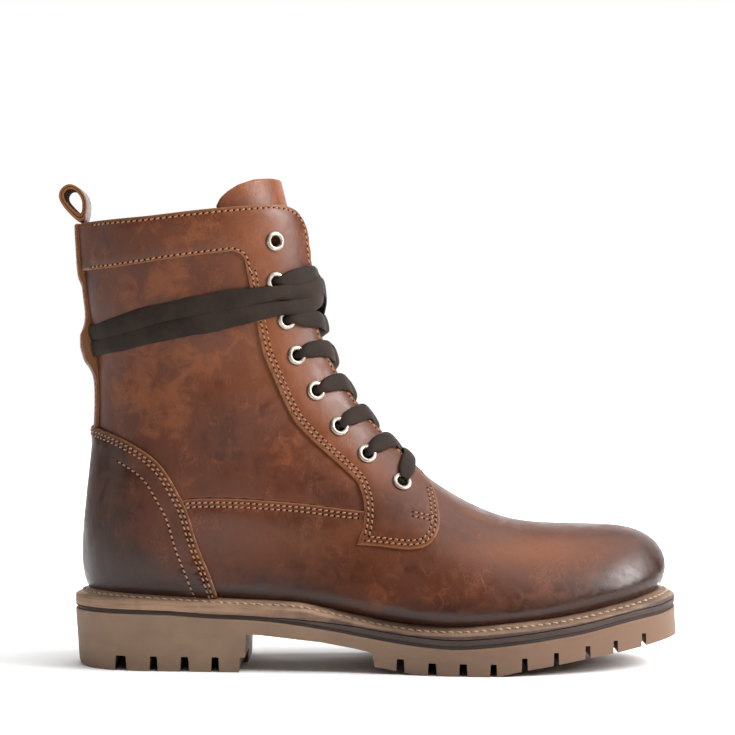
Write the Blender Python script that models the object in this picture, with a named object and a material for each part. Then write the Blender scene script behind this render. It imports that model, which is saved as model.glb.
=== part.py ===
"""Right lace-up winter boot: leather upper, lug sole, eyelets, lace, lining and insole layers.

The boot stands on z = 0 with its toe towards +X and its outer (lateral) side towards -Y.
All sizes below are millimetres; objects are written in metres.
The upper is laid out on one smooth body surface, S(u, angle): u counts the body's sections from
the tip of the toe (0) to the top of the tongue, and angle runs round a section, 0 at the front
ridge and 180 degrees at the sole or the heel, positive on the lateral side.
"""
import math

import bmesh
import bpy
import numpy as np
from mathutils import Vector
from mathutils.geometry import delaunay_2d_cdt

MM = 0.001
GAP = 0.4                    # clearance between neighbouring panels of one layer

# Each section of the body: front point x, z; rear or bottom point x, z; middle y;
# lateral and medial half-width; how far the rounding reaches in from the front and the rear.
SECTIONS = np.array([
    (152.4, 50.5, 152.4, 50.5, 6.5, 0.0, 0.0, 1.00, 0.50),
    (151.1, 56.3, 151.4, 44.3, 6.5, 12.5, 12.0, 1.00, 0.50),
    (147.3, 61.8, 147.3, 36.5, 6.3, 23.5, 22.0, 1.00, 0.45),
    (140.1, 66.6, 140.1, 31.0, 6.0, 33.0, 31.0, 1.00, 0.40),
    (128.6, 69.5, 129.1, 27.5, 5.5, 41.5, 38.5, 1.00, 0.36),
    (111.1, 70.5, 112.1, 23.5, 4.8, 49.0, 44.8, 1.00, 0.32),
    (92.1, 71.2, 91.1, 19.5, 4.0, 54.0, 48.2, 1.00, 0.28),
    (73.1, 73.4, 68.1, 17.0, 3.2, 56.5, 49.8, 1.00, 0.24),
    (55.6, 79.6, 44.1, 16.0, 2.6, 56.0, 48.2, 1.00, 0.21),
    (40.6, 87.5, 20.1, 18.0, 2.0, 52.0, 43.8, 0.98, 0.19),
    (28.4, 96.5, -3.9, 22.0, 1.6, 46.5, 38.0, 0.94, 0.17),
    (19.1, 105.5, -28.9, 25.5, 1.3, 41.5, 35.0, 0.88, 0.16),
    (11.1, 114.0, -54.9, 28.0, 1.0, 38.5, 34.0, 0.80, 0.15),
    (3.6, 122.5, -81.9, 29.5, 0.8, 37.0, 34.0, 0.72, 0.15),
    (-2.9, 131.0, -107.9, 31.0, 0.6, 36.5, 35.0, 0.65, 0.17),
    (-8.4, 139.0, -129.9, 32.5, 0.4, 36.5, 35.5, 0.60, 0.22),
    (-12.9, 147.0, -140.9, 40.5, 0.2, 36.0, 35.5, 0.56, 0.30),
    (-16.5, 155.0, -143.9, 56.0, 0.0, 35.5, 35.0, 0.54, 0.36),
    (-19.5, 163.5, -142.8, 75.0, 0.0, 35.0, 34.5, 0.52, 0.40),
    (-22.1, 173.0, -140.5, 96.0, 0.0, 34.8, 34.3, 0.51, 0.44),
    (-24.3, 184.0, -138.5, 119.0, 0.0, 35.0, 34.5, 0.50, 0.47),
    (-25.9, 196.0, -138.2, 143.0, 0.0, 36.0, 35.5, 0.50, 0.50),
    (-27.3, 208.5, -141.1, 167.0, 0.0, 37.5, 37.0, 0.50, 0.50),
    (-29.2, 221.0, -144.5, 193.0, 0.0, 39.0, 38.5, 0.50, 0.50),
    (-31.9, 233.0, -146.3, 219.0, 0.0, 40.0, 39.5, 0.50, 0.50),
    (-34.6, 244.0, -147.1, 240.0, 0.0, 40.5, 40.0, 0.50, 0.50),
    (-37.4, 255.0, -147.6, 256.0, 0.0, 40.7, 40.2, 0.50, 0.50),
])
ROUNDNESS = 2.1              # exponent of the section's rounding, 2 is an ellipse
U_TOP = len(SECTIONS) - 1
U_THROAT = 9.9               # where the vamp ends and the facings open

# Where the upper meets the welt, height by length.
FEATHER = [(-146, 40.0), (-99, 37.8), (-50, 35.6), (-34, 34.7), (-18, 31.5), (-2, 27.9), (16, 24.8),
           (31, 23.6), (50, 23.9), (78, 26.4), (99, 28.8), (132, 34.8), (153, 39.4)]
# Top of the outsole and its underside over the arch and the toe.
OUTSOLE_TOP = [(-152, 28.5), (-100, 28.0), (-77, 26.6), (-56, 25.8), (-34, 23.6), (-13, 20.1), (9, 16.2),
               (31, 13.7), (50, 13.5), (84, 16.9), (106, 20.1), (128, 24.5), (147, 27.4), (160, 30.4)]
UNDERSIDE = [(-153, 7.0), (-147, 1.2), (-142, 0.0), (-61, 0.0), (-60, 18.8), (-53, 18.5), (-38, 17.0),
             (-23, 15.4), (-7, 12.5), (2, 10.5), (3.5, 3.6), (13, 2.0), (25, 0.0), (62, 0.0), (77, 2.9),
             (92, 5.0), (108, 7.7), (124, 9.9), (138, 12.3), (152, 14.8), (162, 16.2)]

# Outlines of the upper's panels, as seen from the side: (x, z).
COLLAR_TOP = [(-146.5, 223.2), (-141.5, 223.3), (-125.0, 224.2), (-108.0, 225.3), (-90.0, 227.3),
              (-73.0, 229.2), (-50.0, 231.6), (-43.0, 231.9), (-38.0, 231.3)]
BAND_EDGE = [(-145.0, 199.3), (-141.5, 199.5), (-125.0, 200.5), (-95.4, 204.5), (-71.8, 207.5),
             (-66.5, 208.0), (-62.0, 205.7), (-60.3, 200.3), (-58.5, 190.4), (-55.1, 172.0), (-52.5, 159.2),
             (-48.6, 149.3), (-39.1, 128.3), (-33.0, 119.8), (-25.7, 112.3), (-8.7, 96.9), (-4.2, 91.0),
             (-2.2, 85.0), (-1.7, 76.4), (-2.7, 69.6), (-5.2, 62.8)]
STAY_FOOT = [(-5.2, 62.8), (5.2, 62.2), (16.5, 61.0), (23.9, 61.0), (29.9, 62.8), (34.4, 68.0), (35.6, 74.6),
             (34.4, 83.0), (32.1, 90.0)]
WING_EDGE = [(-2.2, 79.0), (-17.6, 80.8), (-33.0, 82.9), (-63.0, 85.3), (-84.3, 85.5), (-91.0, 84.8)]
WING_END = [(-91.0, 84.8), (-99.0, 82.0), (-102.5, 72.0), (-101.0, 50.0), (-99.0, 38.3)]
COUNTER_EDGE = [(-138.9, 120.8), (-132.0, 118.6), (-124.1, 115.8), (-114.5, 111.0), (-105.2, 104.7),
                (-98.2, 96.3), (-93.7, 88.4), (-89.2, 79.6), (-85.7, 68.2), (-82.3, 58.3), (-77.9, 47.9),
                (-74.3, 37.3)]
QUARTER_FRONT = [(-52.0, 231.7), (-52.5, 208.0), (-51.5, 192.0), (-47.5, 172.0), (-44.5, 159.0),
                 (-41.0, 149.5), (-32.5, 129.0), (-27.0, 120.5), (-20.0, 113.0), (-3.5, 97.0), (1.0, 91.0),
                 (1.0, 85.0), (-2.2, 79.0)]
INNER_FRONT = [(-57.0, 228.5), (-58.0, 208.0), (-57.0, 192.0), (-53.0, 172.0), (-50.0, 159.0), (-46.5, 149.0),
               (-38.0, 128.0), (-32.5, 119.5), (-25.0, 112.0), (-8.0, 97.0), (-1.0, 88.0), (7.0, 79.0)]
STIFFENER_EDGE = [(-140.2, 106.0), (-126.0, 103.5), (-110.0, 93.0), (-103.0, 80.0), (-97.0, 58.0), (-93.0, 43.0)]
TONGUE_TOP = [(0.0, 248.3), (25.0, 247.8), (45.0, 245.8), (57.0, 242.6), (65.0, 238.0),
              (69.0, 231.0)]  # (degrees, z)

# Eyelet centres on the lateral side, from the top row to the bottom row: (x, z).
EYELETS = [(-46.8, 213.2), (-46.5, 193.1), (-41.2, 174.2), (-36.2, 156.4), (-26.6, 138.5), (-14.8, 120.5),
           (-0.8, 106.5), (16.8, 92.3)]
EYELET_HOLE = 2.65
EYELET_BARREL = 3.2
EYELET_FLANGE = 5.0
FACING_HALF_GAP = [(9.9, 5.5), (12.0, 6.0), (14.0, 7.0), (16.0, 9.0), (18.0, 11.5), (19.0, 12.5), (26.0, 12.5)]

# Layers of the upper, measured outwards from S: (inner face, outer face).
LEATHER = (-1.5, 0.0)
OVERLAY = (0.7, 2.0)
STRAP = (0.9, 2.2)
STIFFENER = (-3.2, -2.5)
INSULATION = (-6.2, -4.1)
LINING = (-7.8, -6.9)
TONGUE = (-10.9, -8.8)

# Points on the hinge axes, which all run across the boot.
LOOP_HINGE = (-145.6, 0.0, 226.2)
TONGUE_HINGE = (17.0, 1.4, 94.4)
FOOTBED_HINGE = (143.5, 0.0, 37.9)

WELT_WIDTH = 6.2
WELT_TIP_EXTRA = 2.1         # the sole reaches further at the toe and the heel than at the sides
GROOVE_TOP = 7.4
# Grooves between the lugs, (x, width), from each side to the middle; the two sides' lugs are staggered.
LATERAL_GROOVES = [(-122.6, 7.4), (-106.0, 5.0), (-90.5, 5.4), (-75.3, 5.0), (-61.2, 5.6), (16.1, 4.9),
                   (31.6, 5.3), (46.6, 5.0), (61.3, 4.2), (76.5, 3.8), (92.2, 3.5), (108.1, 3.5), (122.4, 3.1),
                   (137.4, 3.1)]
MEDIAL_GROOVES = [(-114.3, 5.4), (-98.2, 5.2), (-82.9, 5.2), (23.8, 5.1), (39.1, 5.1), (54.0, 4.6), (68.9, 4.0),
                  (84.4, 3.6), (100.2, 3.5), (115.2, 3.3), (129.9, 3.1)]
LACE_RADIUS = 1.7

# Base colour and roughness of each material.
LOOKS = {"leather": (0.20, 0.082, 0.036, 0.45), "board": (0.42, 0.31, 0.20, 0.8),
         "lining": (0.33, 0.24, 0.16, 0.9), "felt": (0.55, 0.53, 0.48, 1.0),
         "rubber": (0.33, 0.21, 0.13, 0.6), "midsole": (0.055, 0.03, 0.02, 0.6),
         "welt": (0.30, 0.17, 0.09, 0.6), "cork": (0.38, 0.24, 0.13, 0.9),
         "lace": (0.045, 0.03, 0.025, 0.7), "metal": (0.72, 0.69, 0.64, 0.3),
         "steel": (0.5, 0.5, 0.52, 0.4)}
METALS = ("metal", "steel")


def spline(points):
    """Natural cubic spline through rows of points, as a function of the row number."""
    rows = np.asarray(points, float)
    n = len(rows)
    system = np.eye(n)
    right = np.zeros_like(rows)
    for i in range(1, n - 1):
        system[i, i - 1:i + 2] = (1, 4, 1)
        right[i] = 6 * (rows[i + 1] - 2 * rows[i] + rows[i - 1])
    bend = np.linalg.solve(system, right)

    def at(t):
        t = np.asarray(t, float)
        i = np.clip(t.astype(int), 0, n - 2)
        f = (t - i)[..., None] if rows.ndim > 1 else t - i
        g = 1 - f
        return g * rows[i] + f * rows[i + 1] + ((g**3 - g) * bend[i] + (f**3 - f) * bend[i + 1]) / 6
    return at


def profile(points):
    """Smooth z of x through (x, z) points with growing x."""
    xs = np.array([p[0] for p in points], float)
    curve = spline([p[1] for p in points])
    return lambda x: curve(np.interp(x, xs, np.arange(len(xs))))


def mirrored_first(rows):
    """The sections with one more in front of the toe, so that the toe's tip is round."""
    ghost = rows[1].copy()
    ghost[:4] = rows[1][[2, 3, 0, 1]]
    ghost[5:7] *= -1
    return np.vstack([ghost, rows])


section_spline = spline(mirrored_first(SECTIONS))
feather_z = profile(FEATHER)
outsole_top = profile(OUTSOLE_TOP)


def section(u):
    return section_spline(np.asarray(u, float) + 1)


def rounding(part, reach):
    inner = np.clip(1 - np.clip(part / reach, 0, 1), 0, 1)
    return np.sqrt(np.clip(1 - inner**ROUNDNESS, 0, None))


def body(u, angle):
    s = section(u)
    part = (1 - np.cos(angle)) / 2
    x = s[..., 0] + (s[..., 2] - s[..., 0]) * part
    z = s[..., 1] + (s[..., 3] - s[..., 1]) * part
    lateral = np.sin(angle) >= 0
    half = np.where(lateral, -s[..., 5], s[..., 6])
    y = s[..., 4] + half * rounding(part, s[..., 7]) * rounding(1 - part, s[..., 8])
    return np.stack([x, y, z], -1)


def surface(u, angle, offset=0.0):
    """Points of S moved outwards by offset."""
    u, angle = np.broadcast_arrays(np.asarray(u, float), np.asarray(angle, float))
    small = 1e-3
    along = body(u + small, angle) - body(np.maximum(u - small, 1e-5), angle)
    around = body(u, angle + small) - body(u, angle - small)
    normal = np.cross(along, around)
    length = np.linalg.norm(normal, axis=-1, keepdims=True)
    normal = np.where(length > 1e-9, normal / np.maximum(length, 1e-9), (1.0, 0, 0))
    return body(u, angle) + normal * np.asarray(offset, float)[..., None]


def locate(x, z):
    """u and angle on the lateral side of the point seen at x, z from the side."""
    low, high = 1e-4, float(U_TOP)
    for _ in range(45):
        u = (low + high) / 2
        s = section(u)
        if (s[2] - s[0]) * (z - s[1]) - (s[3] - s[1]) * (x - s[0]) < 0:
            low = u
        else:
            high = u
    s = section(u)
    chord = s[2:4] - s[0:2]
    part = ((x - s[0]) * chord[0] + (z - s[1]) * chord[1]) / (chord @ chord)
    return u, math.acos(min(1, max(-1, 1 - 2 * part)))


def solve_angle(u, inside, low, high):
    """The angle between low and high where inside(point) turns from true to false."""
    for _ in range(40):
        middle = (low + high) / 2
        if inside(body(u, middle)):
            low = middle
        else:
            high = middle
    return low


def feather_angle(u, lift=0.5):
    return solve_angle(u, lambda p: p[2] > feather_z(p[0]) + lift, math.radians(80), math.pi)


def facing_angle(u):
    half_gap = np.interp(u, [p[0] for p in FACING_HALF_GAP], [p[1] for p in FACING_HALF_GAP])
    return solve_angle(u, lambda p: abs(p[1]) < half_gap, 0.0, math.radians(80))


def feather_ends(lift=0.5):
    """The two values of u where the feather line crosses the toe's and the heel's middle."""
    ends = []
    for low, high in ((0.2, 2.5), (17.5, 15.0)):
        for _ in range(40):
            middle = (low + high) / 2
            p = body(middle, math.pi)
            if p[2] > feather_z(p[0]) + lift:
                low = middle
            else:
                high = middle
        ends.append(low)
    return ends


# --- outlines in (u, angle) ------------------------------------------------------------------
def length_of(path):
    points = surface(*np.array(path).T)
    return np.concatenate([[0], np.cumsum(np.linalg.norm(np.diff(points, axis=0), axis=1))])


def resample(path, step):
    """The path with evenly spaced points about step apart."""
    path = np.array(path, float)
    run = length_of(path)
    count = max(1, round(run[-1] / step))
    even = np.linspace(0, run[-1], count + 1)
    return np.stack([np.interp(even, run, path[:, 0]), np.interp(even, run, path[:, 1])], 1)


def seen(points, step):
    """A side-view outline as an evenly spaced path in (u, angle)."""
    curve = spline(points)
    dense = curve(np.linspace(0, len(points) - 1, 12 * len(points)))
    return resample([locate(x, z) for x, z in dense], step)


def along_feather(u_start, u_end, step, lift=0.5):
    """The lower edge of a panel; None stands for the middle of the toe or of the heel."""
    toe, heel = feather_ends(lift)
    path = [(toe, math.pi)] if u_start is None else []
    spread = (1 - np.cos(np.linspace(0, math.pi, 80))) / 2
    first = toe + 1e-3 if u_start is None else u_start
    last = heel - 1e-3 if u_end is None else u_end
    path += [(u, feather_angle(u, lift)) for u in first + (last - first) * spread]
    path += [(heel, math.pi)] if u_end is None else []
    return resample(path, step)


def along_facing(u_start, u_end, step):
    return resample([(u, facing_angle(u)) for u in np.linspace(u_start, u_end, 40)], step)


def along_ridge(angle, u_start, u_end, step):
    return resample([(u, angle) for u in np.linspace(u_start, u_end, 40)], step)


def around_section(u, start, end, step):
    return resample([(u, a) for a in np.linspace(start, end, 40)], step)


def other_side(path, about):
    """The mirror image of a path, walked backwards: about the ridge (0) or the back (pi)."""
    flipped = np.array(path)[::-1].copy()
    flipped[:, 1] = 2 * about - flipped[:, 1]
    return flipped


def join(*paths):
    """One closed outline from paths laid end to end, without repeated points."""
    outline = []
    for point in np.vstack(paths):
        if not outline or np.abs(point - outline[-1]).max() > 1e-5:
            outline.append(point)
    if np.abs(outline[0] - outline[-1]).max() < 1e-5:
        outline.pop()
    return np.array(outline)


def disc(u, angle, radius, count):
    """A circle on S around a point."""
    small = 1e-3
    d_u = (body(u + small, angle) - body(u - small, angle)) / (2 * small)
    d_a = (body(u, angle + small) - body(u, angle - small)) / (2 * small)
    normal = np.cross(d_u, d_a)
    normal /= np.linalg.norm(normal)
    first = d_u / np.linalg.norm(d_u)
    second = np.cross(normal, first)
    turn = np.arange(count) * 2 * math.pi / count
    ring = radius * (np.outer(np.cos(turn), first) + np.outer(np.sin(turn), second))
    steps = np.linalg.lstsq(np.stack([d_u, d_a], 1), ring.T, rcond=None)[0].T
    return steps + (u, angle)


# --- meshing ------------------------------------------------------------------------------------
RINGS = np.linspace(0, U_TOP, 400)
RING_GIRTH = np.array([np.linalg.norm(np.diff(body(np.full(49, u), np.linspace(0, math.pi, 49)), axis=0),
                                      axis=1).sum() / math.pi for u in RINGS])
RING_RUN = length_of([(u, math.pi / 2) for u in RINGS])


def unroll(points):
    """(u, angle) laid out flat, in millimetres along and around the body."""
    u, angle = np.array(points, float).T
    return np.stack([np.interp(u, RINGS, RING_RUN), angle * np.interp(u, RINGS, RING_GIRTH)], 1)


def inside_loops(points, loops):
    inside = np.zeros(len(points), bool)
    for loop in loops:
        for (x0, y0), (x1, y1) in zip(loop, np.roll(loop, -1, axis=0)):
            crosses = (y0 > points[:, 1]) != (y1 > points[:, 1])
            if y0 != y1:
                inside ^= crosses & (points[:, 0] < x0 + (points[:, 1] - y0) * (x1 - x0) / (y1 - y0))
    return inside


def inner_points(loops, step):
    """Points spread inside the loops, each at least step from the others and from the loops."""
    flat_loops = [unroll(loop) for loop in loops]
    kept = surface(*np.vstack(loops).T)
    everything = np.vstack(loops)
    grid_u = np.arange(max(0.3, everything[:, 0].min()), everything[:, 0].max(), 0.25)
    grid_a = np.radians(np.arange(-176, 540, 5))
    grid_a = grid_a[(grid_a > everything[:, 1].min()) & (grid_a < everything[:, 1].max())]
    grid = np.stack(np.meshgrid(grid_u, grid_a, indexing="ij"), -1).reshape(-1, 2)
    grid = grid[inside_loops(unroll(grid), flat_loops)]
    found = []
    for place, point in zip(grid, surface(*grid.T)):
        if np.linalg.norm(kept - point, axis=1).min() > step * np.interp(place[0], [0, 3, 5], [0.55, 0.65, 1]):
            kept = np.vstack([kept, point])
            found.append(place)
    return np.array(found).reshape(-1, 2)


def triangulate(loops, step):
    """Vertices (u, angle) and triangles of the region inside the loops."""
    places = np.vstack(list(loops) + [inner_points(loops, 0.85 * step)])
    edges, start = [], 0
    for loop in loops:
        edges += [(start + i, start + (i + 1) % len(loop)) for i in range(len(loop))]
        start += len(loop)
    flat = unroll(places)
    result = delaunay_2d_cdt([Vector(p) for p in flat], edges, [], 0, 1e-5)
    corners = np.array([tuple(v) for v in result[0]])
    source = [ids[0] if ids else -1 for ids in result[3]]
    if min(source) < 0:
        raise ValueError("an outline crosses itself")
    triangles = np.array(result[2])
    flat_loops = [unroll(loop) for loop in loops]
    chosen = triangles[inside_loops(corners[triangles].mean(1), flat_loops)]
    return places[np.array(source)], chosen


def weld(places, triangles):
    """Joins vertices that lie on the same spot of S and drops triangles that vanish."""
    spots, index = {}, []
    for i, p in enumerate(np.round(body(*places.T), 2)):
        index.append(spots.setdefault(tuple(p), i))
    index = np.array(index)[triangles]
    corners = [tuple(sorted(t)) for t in index.tolist()]
    keep = [len(set(t)) == 3 and corners.count(t) == 1 for t in corners]
    return index[keep]


def shell(name, loops, layer, step, material, lift=None, gap=GAP, origin=(0, 0, 0)):
    """A panel of the upper: the region inside the loops, thick from layer[0] to layer[1]."""
    places, triangles = triangulate(loops, step)
    triangles = weld(places, triangles)
    used = sorted(set(triangles.ravel()))
    number = {old: new for new, old in enumerate(used)}
    triangles = np.array([[number[i] for i in t] for t in triangles])
    places = places[used]
    extra = np.zeros(len(places)) if lift is None else lift(places)
    inner = surface(*places.T, layer[0] + extra)
    outer = surface(*places.T, layer[1] + extra)
    a, b, c = outer[triangles].transpose(1, 0, 2)
    outward = (outer - inner)[triangles].mean(1)
    if (np.cross(b - a, c - a) * outward).sum() < 0:
        triangles = triangles[:, ::-1]
    count = {}
    for t in triangles:
        for i in range(3):
            count[(t[i], t[(i + 1) % 3])] = 1
    border = [e for e in count if (e[1], e[0]) not in count]
    shift = np.zeros_like(outer)
    for i, j in border:
        run = outer[j] - outer[i]
        inward = np.cross((outer - inner)[i], run)
        inward /= np.linalg.norm(inward) + 1e-12
        shift[i] += inward
        shift[j] += inward
    size = np.linalg.norm(shift, axis=1, keepdims=True)
    shift = np.where(size > 1e-6, shift / np.maximum(size, 1e-6), 0) * gap / 2
    n = len(places)
    faces = [tuple(t) for t in triangles] + [tuple(n + i for i in t[::-1]) for t in triangles]
    faces += [(j, i, n + i, n + j) for i, j in border]
    return add_mesh(name, np.vstack([outer + shift, inner + shift]), faces, material, origin)


def add_mesh(name, points, faces, material, origin=(0, 0, 0)):
    mesh = bpy.data.meshes.new(name)
    origin = np.array(origin, float)
    mesh.from_pydata(((np.array(points) - origin) * MM).tolist(), [], [tuple(map(int, f)) for f in faces])
    mesh.update()
    obj = bpy.data.objects.new(name, mesh)
    obj.location = Vector(origin * MM)
    bpy.context.collection.objects.link(obj)
    obj.data.materials.append(make_material(name, material))
    mesh.shade_smooth()
    mesh.set_sharp_from_angle(angle=math.radians(35))
    return obj


def make_material(name, kind):
    red, green, blue, rough = LOOKS[kind]
    material = bpy.data.materials.new(name)
    material.use_nodes = True
    shader = material.node_tree.nodes["Principled BSDF"]
    shader.inputs["Base Color"].default_value = (red, green, blue, 1)
    shader.inputs["Roughness"].default_value = rough
    shader.inputs["Metallic"].default_value = 1.0 if kind in METALS else 0.0
    return material


# --- panels of the upper -----------------------------------------------------------------------
PANEL_STEP = 9.0
WING_PATH = seen(WING_EDGE, PANEL_STEP)
WING_END_PATH = seen(WING_END, PANEL_STEP)
BAND_PATH = seen(BAND_EDGE, PANEL_STEP)
COUNTER_PATH = seen(COUNTER_EDGE, PANEL_STEP)
COLLAR_PATH = seen(COLLAR_TOP, PANEL_STEP)


def make_vamp():
    corner = WING_PATH[0]
    throat = resample([corner, (10.5, math.radians(50)), (10.05, math.radians(25)), (U_THROAT, 0)], PANEL_STEP)
    half = np.vstack([along_ridge(math.pi, 0, feather_ends()[0], 5),
                      along_feather(None, WING_END_PATH[-1][0], PANEL_STEP),
                      WING_END_PATH[::-1], WING_PATH[::-1], throat])
    shell("vamp", [join(half, other_side(half, 0))], LEATHER, PANEL_STEP, "leather")


def make_quarters():
    front = seen(QUARTER_FRONT, PANEL_STEP)
    top_end = front[0]
    top = resample([p for p in COLLAR_PATH if p[1] > top_end[1]] + [top_end], PANEL_STEP)
    outline = join(along_ridge(math.pi, feather_ends()[1], COLLAR_PATH[0][0], PANEL_STEP), top, front,
                   WING_PATH, WING_END_PATH, along_feather(WING_END_PATH[-1][0], None, PANEL_STEP))
    shell("quarter_lateral", [outline], LEATHER, PANEL_STEP, "leather")
    shell("quarter_medial", [other_side(outline, 0)], LEATHER, PANEL_STEP, "leather")


def make_eyestays():
    foot = seen(STAY_FOOT, 7)
    outline = join(along_ridge(math.pi, BAND_PATH[0][0], COLLAR_PATH[0][0], PANEL_STEP), COLLAR_PATH,
                   along_facing(23.6, 10.1, 7), foot[::-1], BAND_PATH[::-1])
    holes = [disc(*locate(x, z), EYELET_BARREL + GAP, 8) for x, z in EYELETS]
    loops = [outline] + holes
    shell("eyestay_lateral", loops, OVERLAY, PANEL_STEP, "leather")
    shell("eyestay_medial", [other_side(loop, 0) for loop in loops], OVERLAY, PANEL_STEP, "leather")


def counter_lift(places):
    """The cover stands a little further out where the body curls in under it."""
    points = body(*places.T)
    return np.interp(points[:, 2] - feather_z(points[:, 0]), [5, 18], [0.9, 0])


def make_heel_pieces():
    for name, edge, layer, lift, kind, out in (
            ("heel_counter_cover", COUNTER_PATH, OVERLAY, 0.5, "leather", counter_lift),
            ("heel_stiffener", seen(STIFFENER_EDGE, 10), STIFFENER, 5.0, "board", None)):
        half = np.vstack([edge, along_feather(edge[-1][0], None, PANEL_STEP, lift)])
        shell(name, [join(half, other_side(half, math.pi))], layer, 7, kind, out)


def make_toe_puff():
    lift, step = 9.0, 7.0
    half = np.vstack([along_ridge(math.pi, 0, feather_ends(lift)[0], 5), along_feather(None, 4.4, step, lift),
                      around_section(4.4, feather_angle(4.4, lift), 0, step)])
    shell("toe_puff", [join(half, other_side(half, 0))], STIFFENER, step, "board")


def make_linings():
    lift, step = 8.0, 14.0
    for name, layer, kind in (("insulation", INSULATION, "felt"), ("lining", LINING, "lining")):
        half = np.vstack([along_ridge(math.pi, 0, feather_ends(lift)[0], 5),
                          along_feather(None, U_THROAT - 0.1, step, lift),
                          around_section(U_THROAT - 0.1, feather_angle(U_THROAT - 0.1, lift), 0, step)])
        shell(name + "_forefoot", [join(half, other_side(half, 0))], layer, 10, kind)
        front = seen(INNER_FRONT, step)
        top = seen([(-146.3, 221.5), (-142.0, 222.2), (-100.0, 225.4), (-74.0, 227.8), (-57.0, 228.5)], step)
        end = feather_angle(U_THROAT + 0.1, lift)
        half = np.vstack([top, front, around_section(U_THROAT + 0.1, front[-1][1] + 0.05, end, step),
                          along_feather(U_THROAT + 0.1, None, step, lift)])
        shell(name + "_shaft", [join(half, other_side(half, math.pi))], layer, step, kind)


def u_at_height(angle, z):
    low, high = 20.0, float(U_TOP)
    for _ in range(40):
        middle = (low + high) / 2
        if body(middle, angle)[2] < z:
            low = middle
        else:
            high = middle
    return low


def make_tongue():
    top = [(u_at_height(math.radians(d), z), math.radians(d)) for d, z in TONGUE_TOP]
    side = [(10.5, 40), (12.0, 52), (14.0, 58), (17.0, 64), (20.0, 69), (22.5, 71), (23.9, 70)]
    half = np.vstack([around_section(10.5, 0, math.radians(40), 9),
                      resample([(u, math.radians(d)) for u, d in side], 10), resample(top[::-1], 8)])
    shell("tongue", [join(other_side(half, 0)[:-1], half)], TONGUE, 10, "leather", origin=TONGUE_HINGE)


def strap_lift(places):
    """The strap bows out over the lace bands and steps up over the collar band."""
    z = body(*places.T)[:, 2]
    keeper = np.interp(z, [146, 149, 153.5, 169, 173.5, 176.5], [0, 1.0, 4.0, 4.0, 1.0, 0])
    return keeper + np.interp(z, [190, 197], [0, 1.8])


def make_back_strap():
    low = locate(-138.6, 122.3)[0]
    high = locate(-146.5, 223.2)[0]
    edge = [(u, solve_angle(u, lambda p: abs(p[1]) > 10.0, math.pi / 2, math.pi))
            for u in np.linspace(low, high, 40)]
    lateral = resample(edge, 5)
    outline = join(around_section(low, math.pi, lateral[0][1], 5), lateral,
                   around_section(high, lateral[-1][1], math.pi, 5))
    shell("back_strap", [join(outline, other_side(outline, math.pi))], STRAP, 5, "leather", strap_lift, 0)


# --- bottom unit ----------------------------------------------------------------------------------
def footprint(outward, count=40):
    """The feather line from above, moved outwards: lateral points toe to heel, then medial back."""
    path = along_feather(None, None, 1.0, 0.0)
    spread = (1 - np.cos(np.linspace(0, math.pi, count + 1))) / 2 * 0.5 + np.linspace(0, 1, count + 1) * 0.5
    run = length_of(path)
    half = np.stack([np.interp(spread * run[-1], run, path[:, i]) for i in (0, 1)], 1)
    ring = np.vstack([half, other_side(half, 0)[1:-1]])
    flat = body(*ring.T)[:, :2]
    ahead, behind = np.roll(flat, -1, axis=0), np.roll(flat, 1, axis=0)
    run = ahead - behind
    normal = np.stack([run[:, 1], -run[:, 0]], 1)
    normal /= np.linalg.norm(normal, axis=1, keepdims=True)
    if (normal[0] * (1, 0)).sum() < 0:
        normal = -normal
    extra = WELT_TIP_EXTRA * normal[:, :1]**4 if outward > 1 else 0
    return flat + normal * (outward + extra)


def plate(name, outward, bottom, top, material, origin=(0, 0, 0)):
    """A full plate inside the footprint, between two heights that follow x."""
    ring = footprint(outward)
    n = len(ring)
    low = np.column_stack([ring, bottom(ring[:, 0])])
    high = np.column_stack([ring, top(ring[:, 0])])
    faces = [(i, n + i, n + (i + 1) % n, (i + 1) % n) for i in range(n)]
    for i in range(n // 2):
        pair = [i, i + 1, (n - i - 1) % n, (n - i) % n]
        face = list(dict.fromkeys(pair))
        faces += [tuple(face), tuple(n + k for k in face[::-1])]
    obj = add_mesh(name, np.vstack([low, high]), faces, material, origin)
    return face_out(obj)


def face_out(obj):
    mesh = bmesh.new()
    mesh.from_mesh(obj.data)
    bmesh.ops.triangulate(mesh, faces=mesh.faces[:])
    bmesh.ops.recalc_face_normals(mesh, faces=mesh.faces[:])
    if mesh.calc_volume(signed=True) < 0:
        bmesh.ops.reverse_faces(mesh, faces=mesh.faces[:])
    mesh.to_mesh(obj.data)
    mesh.free()
    return obj


def midsole_top(x):
    return outsole_top(x) + np.interp(x, [-50, -5], [1.7, 4.3])


def make_midsole_and_fillers():
    plate("midsole", WELT_WIDTH - 0.3, lambda x: outsole_top(x) + 0.3, midsole_top, "midsole")
    plate("cork_filler", -3.6, lambda x: midsole_top(x) + 0.3,
          lambda x: feather_z(x) - np.interp(x, [-5, 5], [4.7, 3.1]), "cork")
    plate("insole_board", -3.6, lambda x: feather_z(x) - 2.8, lambda x: feather_z(x) - 0.3, "board")
    plate("footbed", -8.6, lambda x: feather_z(x) + 0.3, lambda x: feather_z(x) + 4.5, "felt", FOOTBED_HINGE)


def make_shank():
    xs = np.linspace(-105, -8, 12)
    low = feather_z(xs) - 4.3
    points, faces = [], []
    for x, z in zip(xs, low):
        points += [(x, -8, z), (x, 8, z), (x, 8, z + 1.1), (x, -8, z + 1.1)]
    for i in range(0, 4 * (len(xs) - 1), 4):
        faces += [(i + k, i + (k + 1) % 4, i + 4 + (k + 1) % 4, i + 4 + k) for k in range(4)]
    faces += [(0, 1, 2, 3), tuple(len(points) - k for k in (4, 3, 2, 1))]
    face_out(add_mesh("steel_shank", points, faces, "steel"))


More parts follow.
